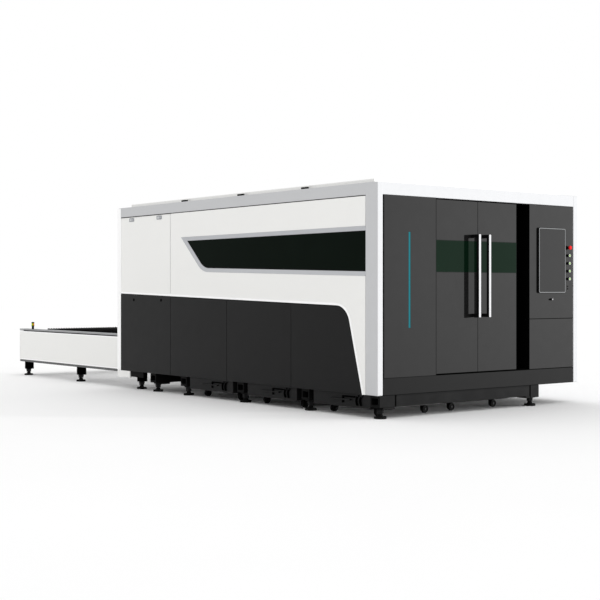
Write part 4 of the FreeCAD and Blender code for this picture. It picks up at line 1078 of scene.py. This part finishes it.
def table_frame():
    """Grey rails over black legs, which are slimmer at their feet."""
    bm = sheet_body("table_frame")
    geometry = bm.verts[:] + bm.edges[:] + bm.faces[:]
    bmesh.ops.bisect_plane(bm, geom=geometry, plane_co=(0, 0, LEG_TOP), plane_no=(0, 0, 1))
    for vert in bm.verts:
        for back in LEG_BACKS:
            start = FRONT - back
            if vert.co.z < LEG_TOP + 0.001 and start - 0.001 < vert.co.x < start + 0.129:
                side = NEAR + (LEG_SIDES[0] if vert.co.y < 0 else LEG_SIDES[1])
                vert.co.x = start + (vert.co.x - start) * LEG_SHARE
                vert.co.y = side + (vert.co.y - side) * LEG_SHARE
    round_edges(bm, 0.0025)
    for face in bm.faces:
        level = face.calc_center_median().z
        if level > TOP_RAILS:
            face.material_index = 1
        elif LOW_RAIL[0] < level < LOW_RAIL[1] and abs(face.normal.y) > 0.9:
            face.material_index = 2
    add_piece("table_structure", bm, [BLACK_AND_RECESS_SHADE, RAIL, EDGE], "machine", node="table_frame")


LAMP = 0.020                 # radius of the lamp


def lamp():
    """Black post and cap with a green lens between orange side lenses."""
    low, high = BOX["signal_post"]
    middle = (low + high) / 2
    rise = high.z - low.z
    radius = LAMP
    bm = bmesh.new()
    post = ((0, 0.8), (0.40, 0.8), (0.42, 1), (0.50, 1))
    lens = ((0.50, 0.86), (0.53, 0.92), (0.82, 0.92), (0.84, 0.8))
    cap = ((0.84, 1), (0.94, 1), (0.99, 0.8), (1, 0.4))
    for shape, finish in ((post, 0), (lens, 1), (cap, 0)):
        profile = [(rise * level, radius * share) for level, share in shape]
        lathe(bm, (middle.x, middle.y, low.z), (0, 0, 1), profile, finish)
    foot, top = low.z + rise * 0.54, low.z + rise * 0.81
    for side in (-1, 1):
        start, end = sorted((middle.x + side * radius * 0.80, middle.x + side * radius * 1.15))
        slab(bm, (start, middle.y - 0.010, foot), (end, middle.y + 0.010, top), 2, edge=0.002)
    node = "signal_post"
    add_piece("table_lamp", bm, [BLACK, LIME, ORANGE], BODY[node], node=node)


RIBS = 11                    # ribs in the shutter


def shutter():
    """Rolled ribs across the shutter."""
    low, high = BOX["rear_shutter"]
    bm = bmesh.new()
    step = (high.z - low.z) / RIBS
    for i in range(RIBS):
        z = low.z + i * step
        section = [
            (low.x + 0.004, z), (high.x - 0.004, z), (high.x, z + step * 0.3), (high.x, z + step * 0.7),
            (high.x - 0.004, z + step), (low.x + 0.004, z + step),
            (low.x, z + step * 0.7), (low.x, z + step * 0.3),
        ]
        prism(bm, section, "y", low.y, high.y, 0, edge=0)
    add_piece("ribbed_shutter", bm, [GREY], "rear_shutter", node="rear_shutter")


# -------- stage

CAMERA = (8.348, 7.502, 1.192)     # past the door end, off the window side, above the floor
CAMERA_LINE = (-0.7848, 0.6198, 0)
KEY_LINE = (-0.682, -0.731, -0.045)
FLOOR = 60                         # half the floor's side


def camera():
    """Level, at a person's chest, off the corner between the window side and the door end."""
    data = bpy.data.cameras.new("camera")
    data.sensor_width = 36
    data.lens = 72.93
    data.shift_y = -0.0158
    data.clip_end = 200
    item = bpy.data.objects.new("camera", data)
    bpy.context.collection.objects.link(item)
    item.location = (FRONT + CAMERA[0], NEAR - CAMERA[1], CAMERA[2])
    item.rotation_euler = Vector(CAMERA_LINE).to_track_quat("-Z", "Y").to_euler()
    bpy.context.scene.camera = item


def lights():
    """A white surround and one low key from the door end's far side."""
    world = bpy.data.worlds.new("studio")
    world.use_nodes = True
    background = world.node_tree.nodes["Background"]
    background.inputs["Color"].default_value = (1, 1, 1, 1)
    background.inputs["Strength"].default_value = 1.0
    bpy.context.scene.world = world
    key = bpy.data.lights.new("key", "SUN")
    key.energy = 3.15
    key.angle = math.radians(1.0)
    item = bpy.data.objects.new("key", key)
    bpy.context.collection.objects.link(item)
    item.rotation_euler = Vector(KEY_LINE).to_track_quat("-Z", "Y").to_euler()
    bpy.context.scene.view_settings.view_transform = "Standard"


def floor():
    """A plain pale floor."""
    bm = bmesh.new()
    bmesh.ops.create_grid(bm, x_segments=1, y_segments=1, size=FLOOR)
    mesh = bpy.data.meshes.new("floor")
    bm.to_mesh(mesh)
    bm.free()
    material, tree, surface, place = shader("floor")
    cloud = noise(tree, place, 0.6, 2)
    tree.links.new(tint(tree, cloud, (0.96, 0.96, 0.96), 0.004), surface.inputs["Base Color"])
    surface.inputs["Roughness"].default_value = 0.9
    surface.inputs["Specular IOR Level"].default_value = 0.0
    mesh.materials.append(material)
    item = bpy.data.objects.new("floor", mesh)
    bpy.context.collection.objects.link(item)


camera()
lights()
floor()
posts()
bands()
side_panels()
window()
locks_and_latches()
far_side()
roof()
handles()
door_details()
cabinet_doors()
control_panel()
button_caps()
button_barrels()
stop_button()
plinth()
feet()
trolleys()
slats()
table_panels()
table_frame()
lamp()
shutter()
carry_over()
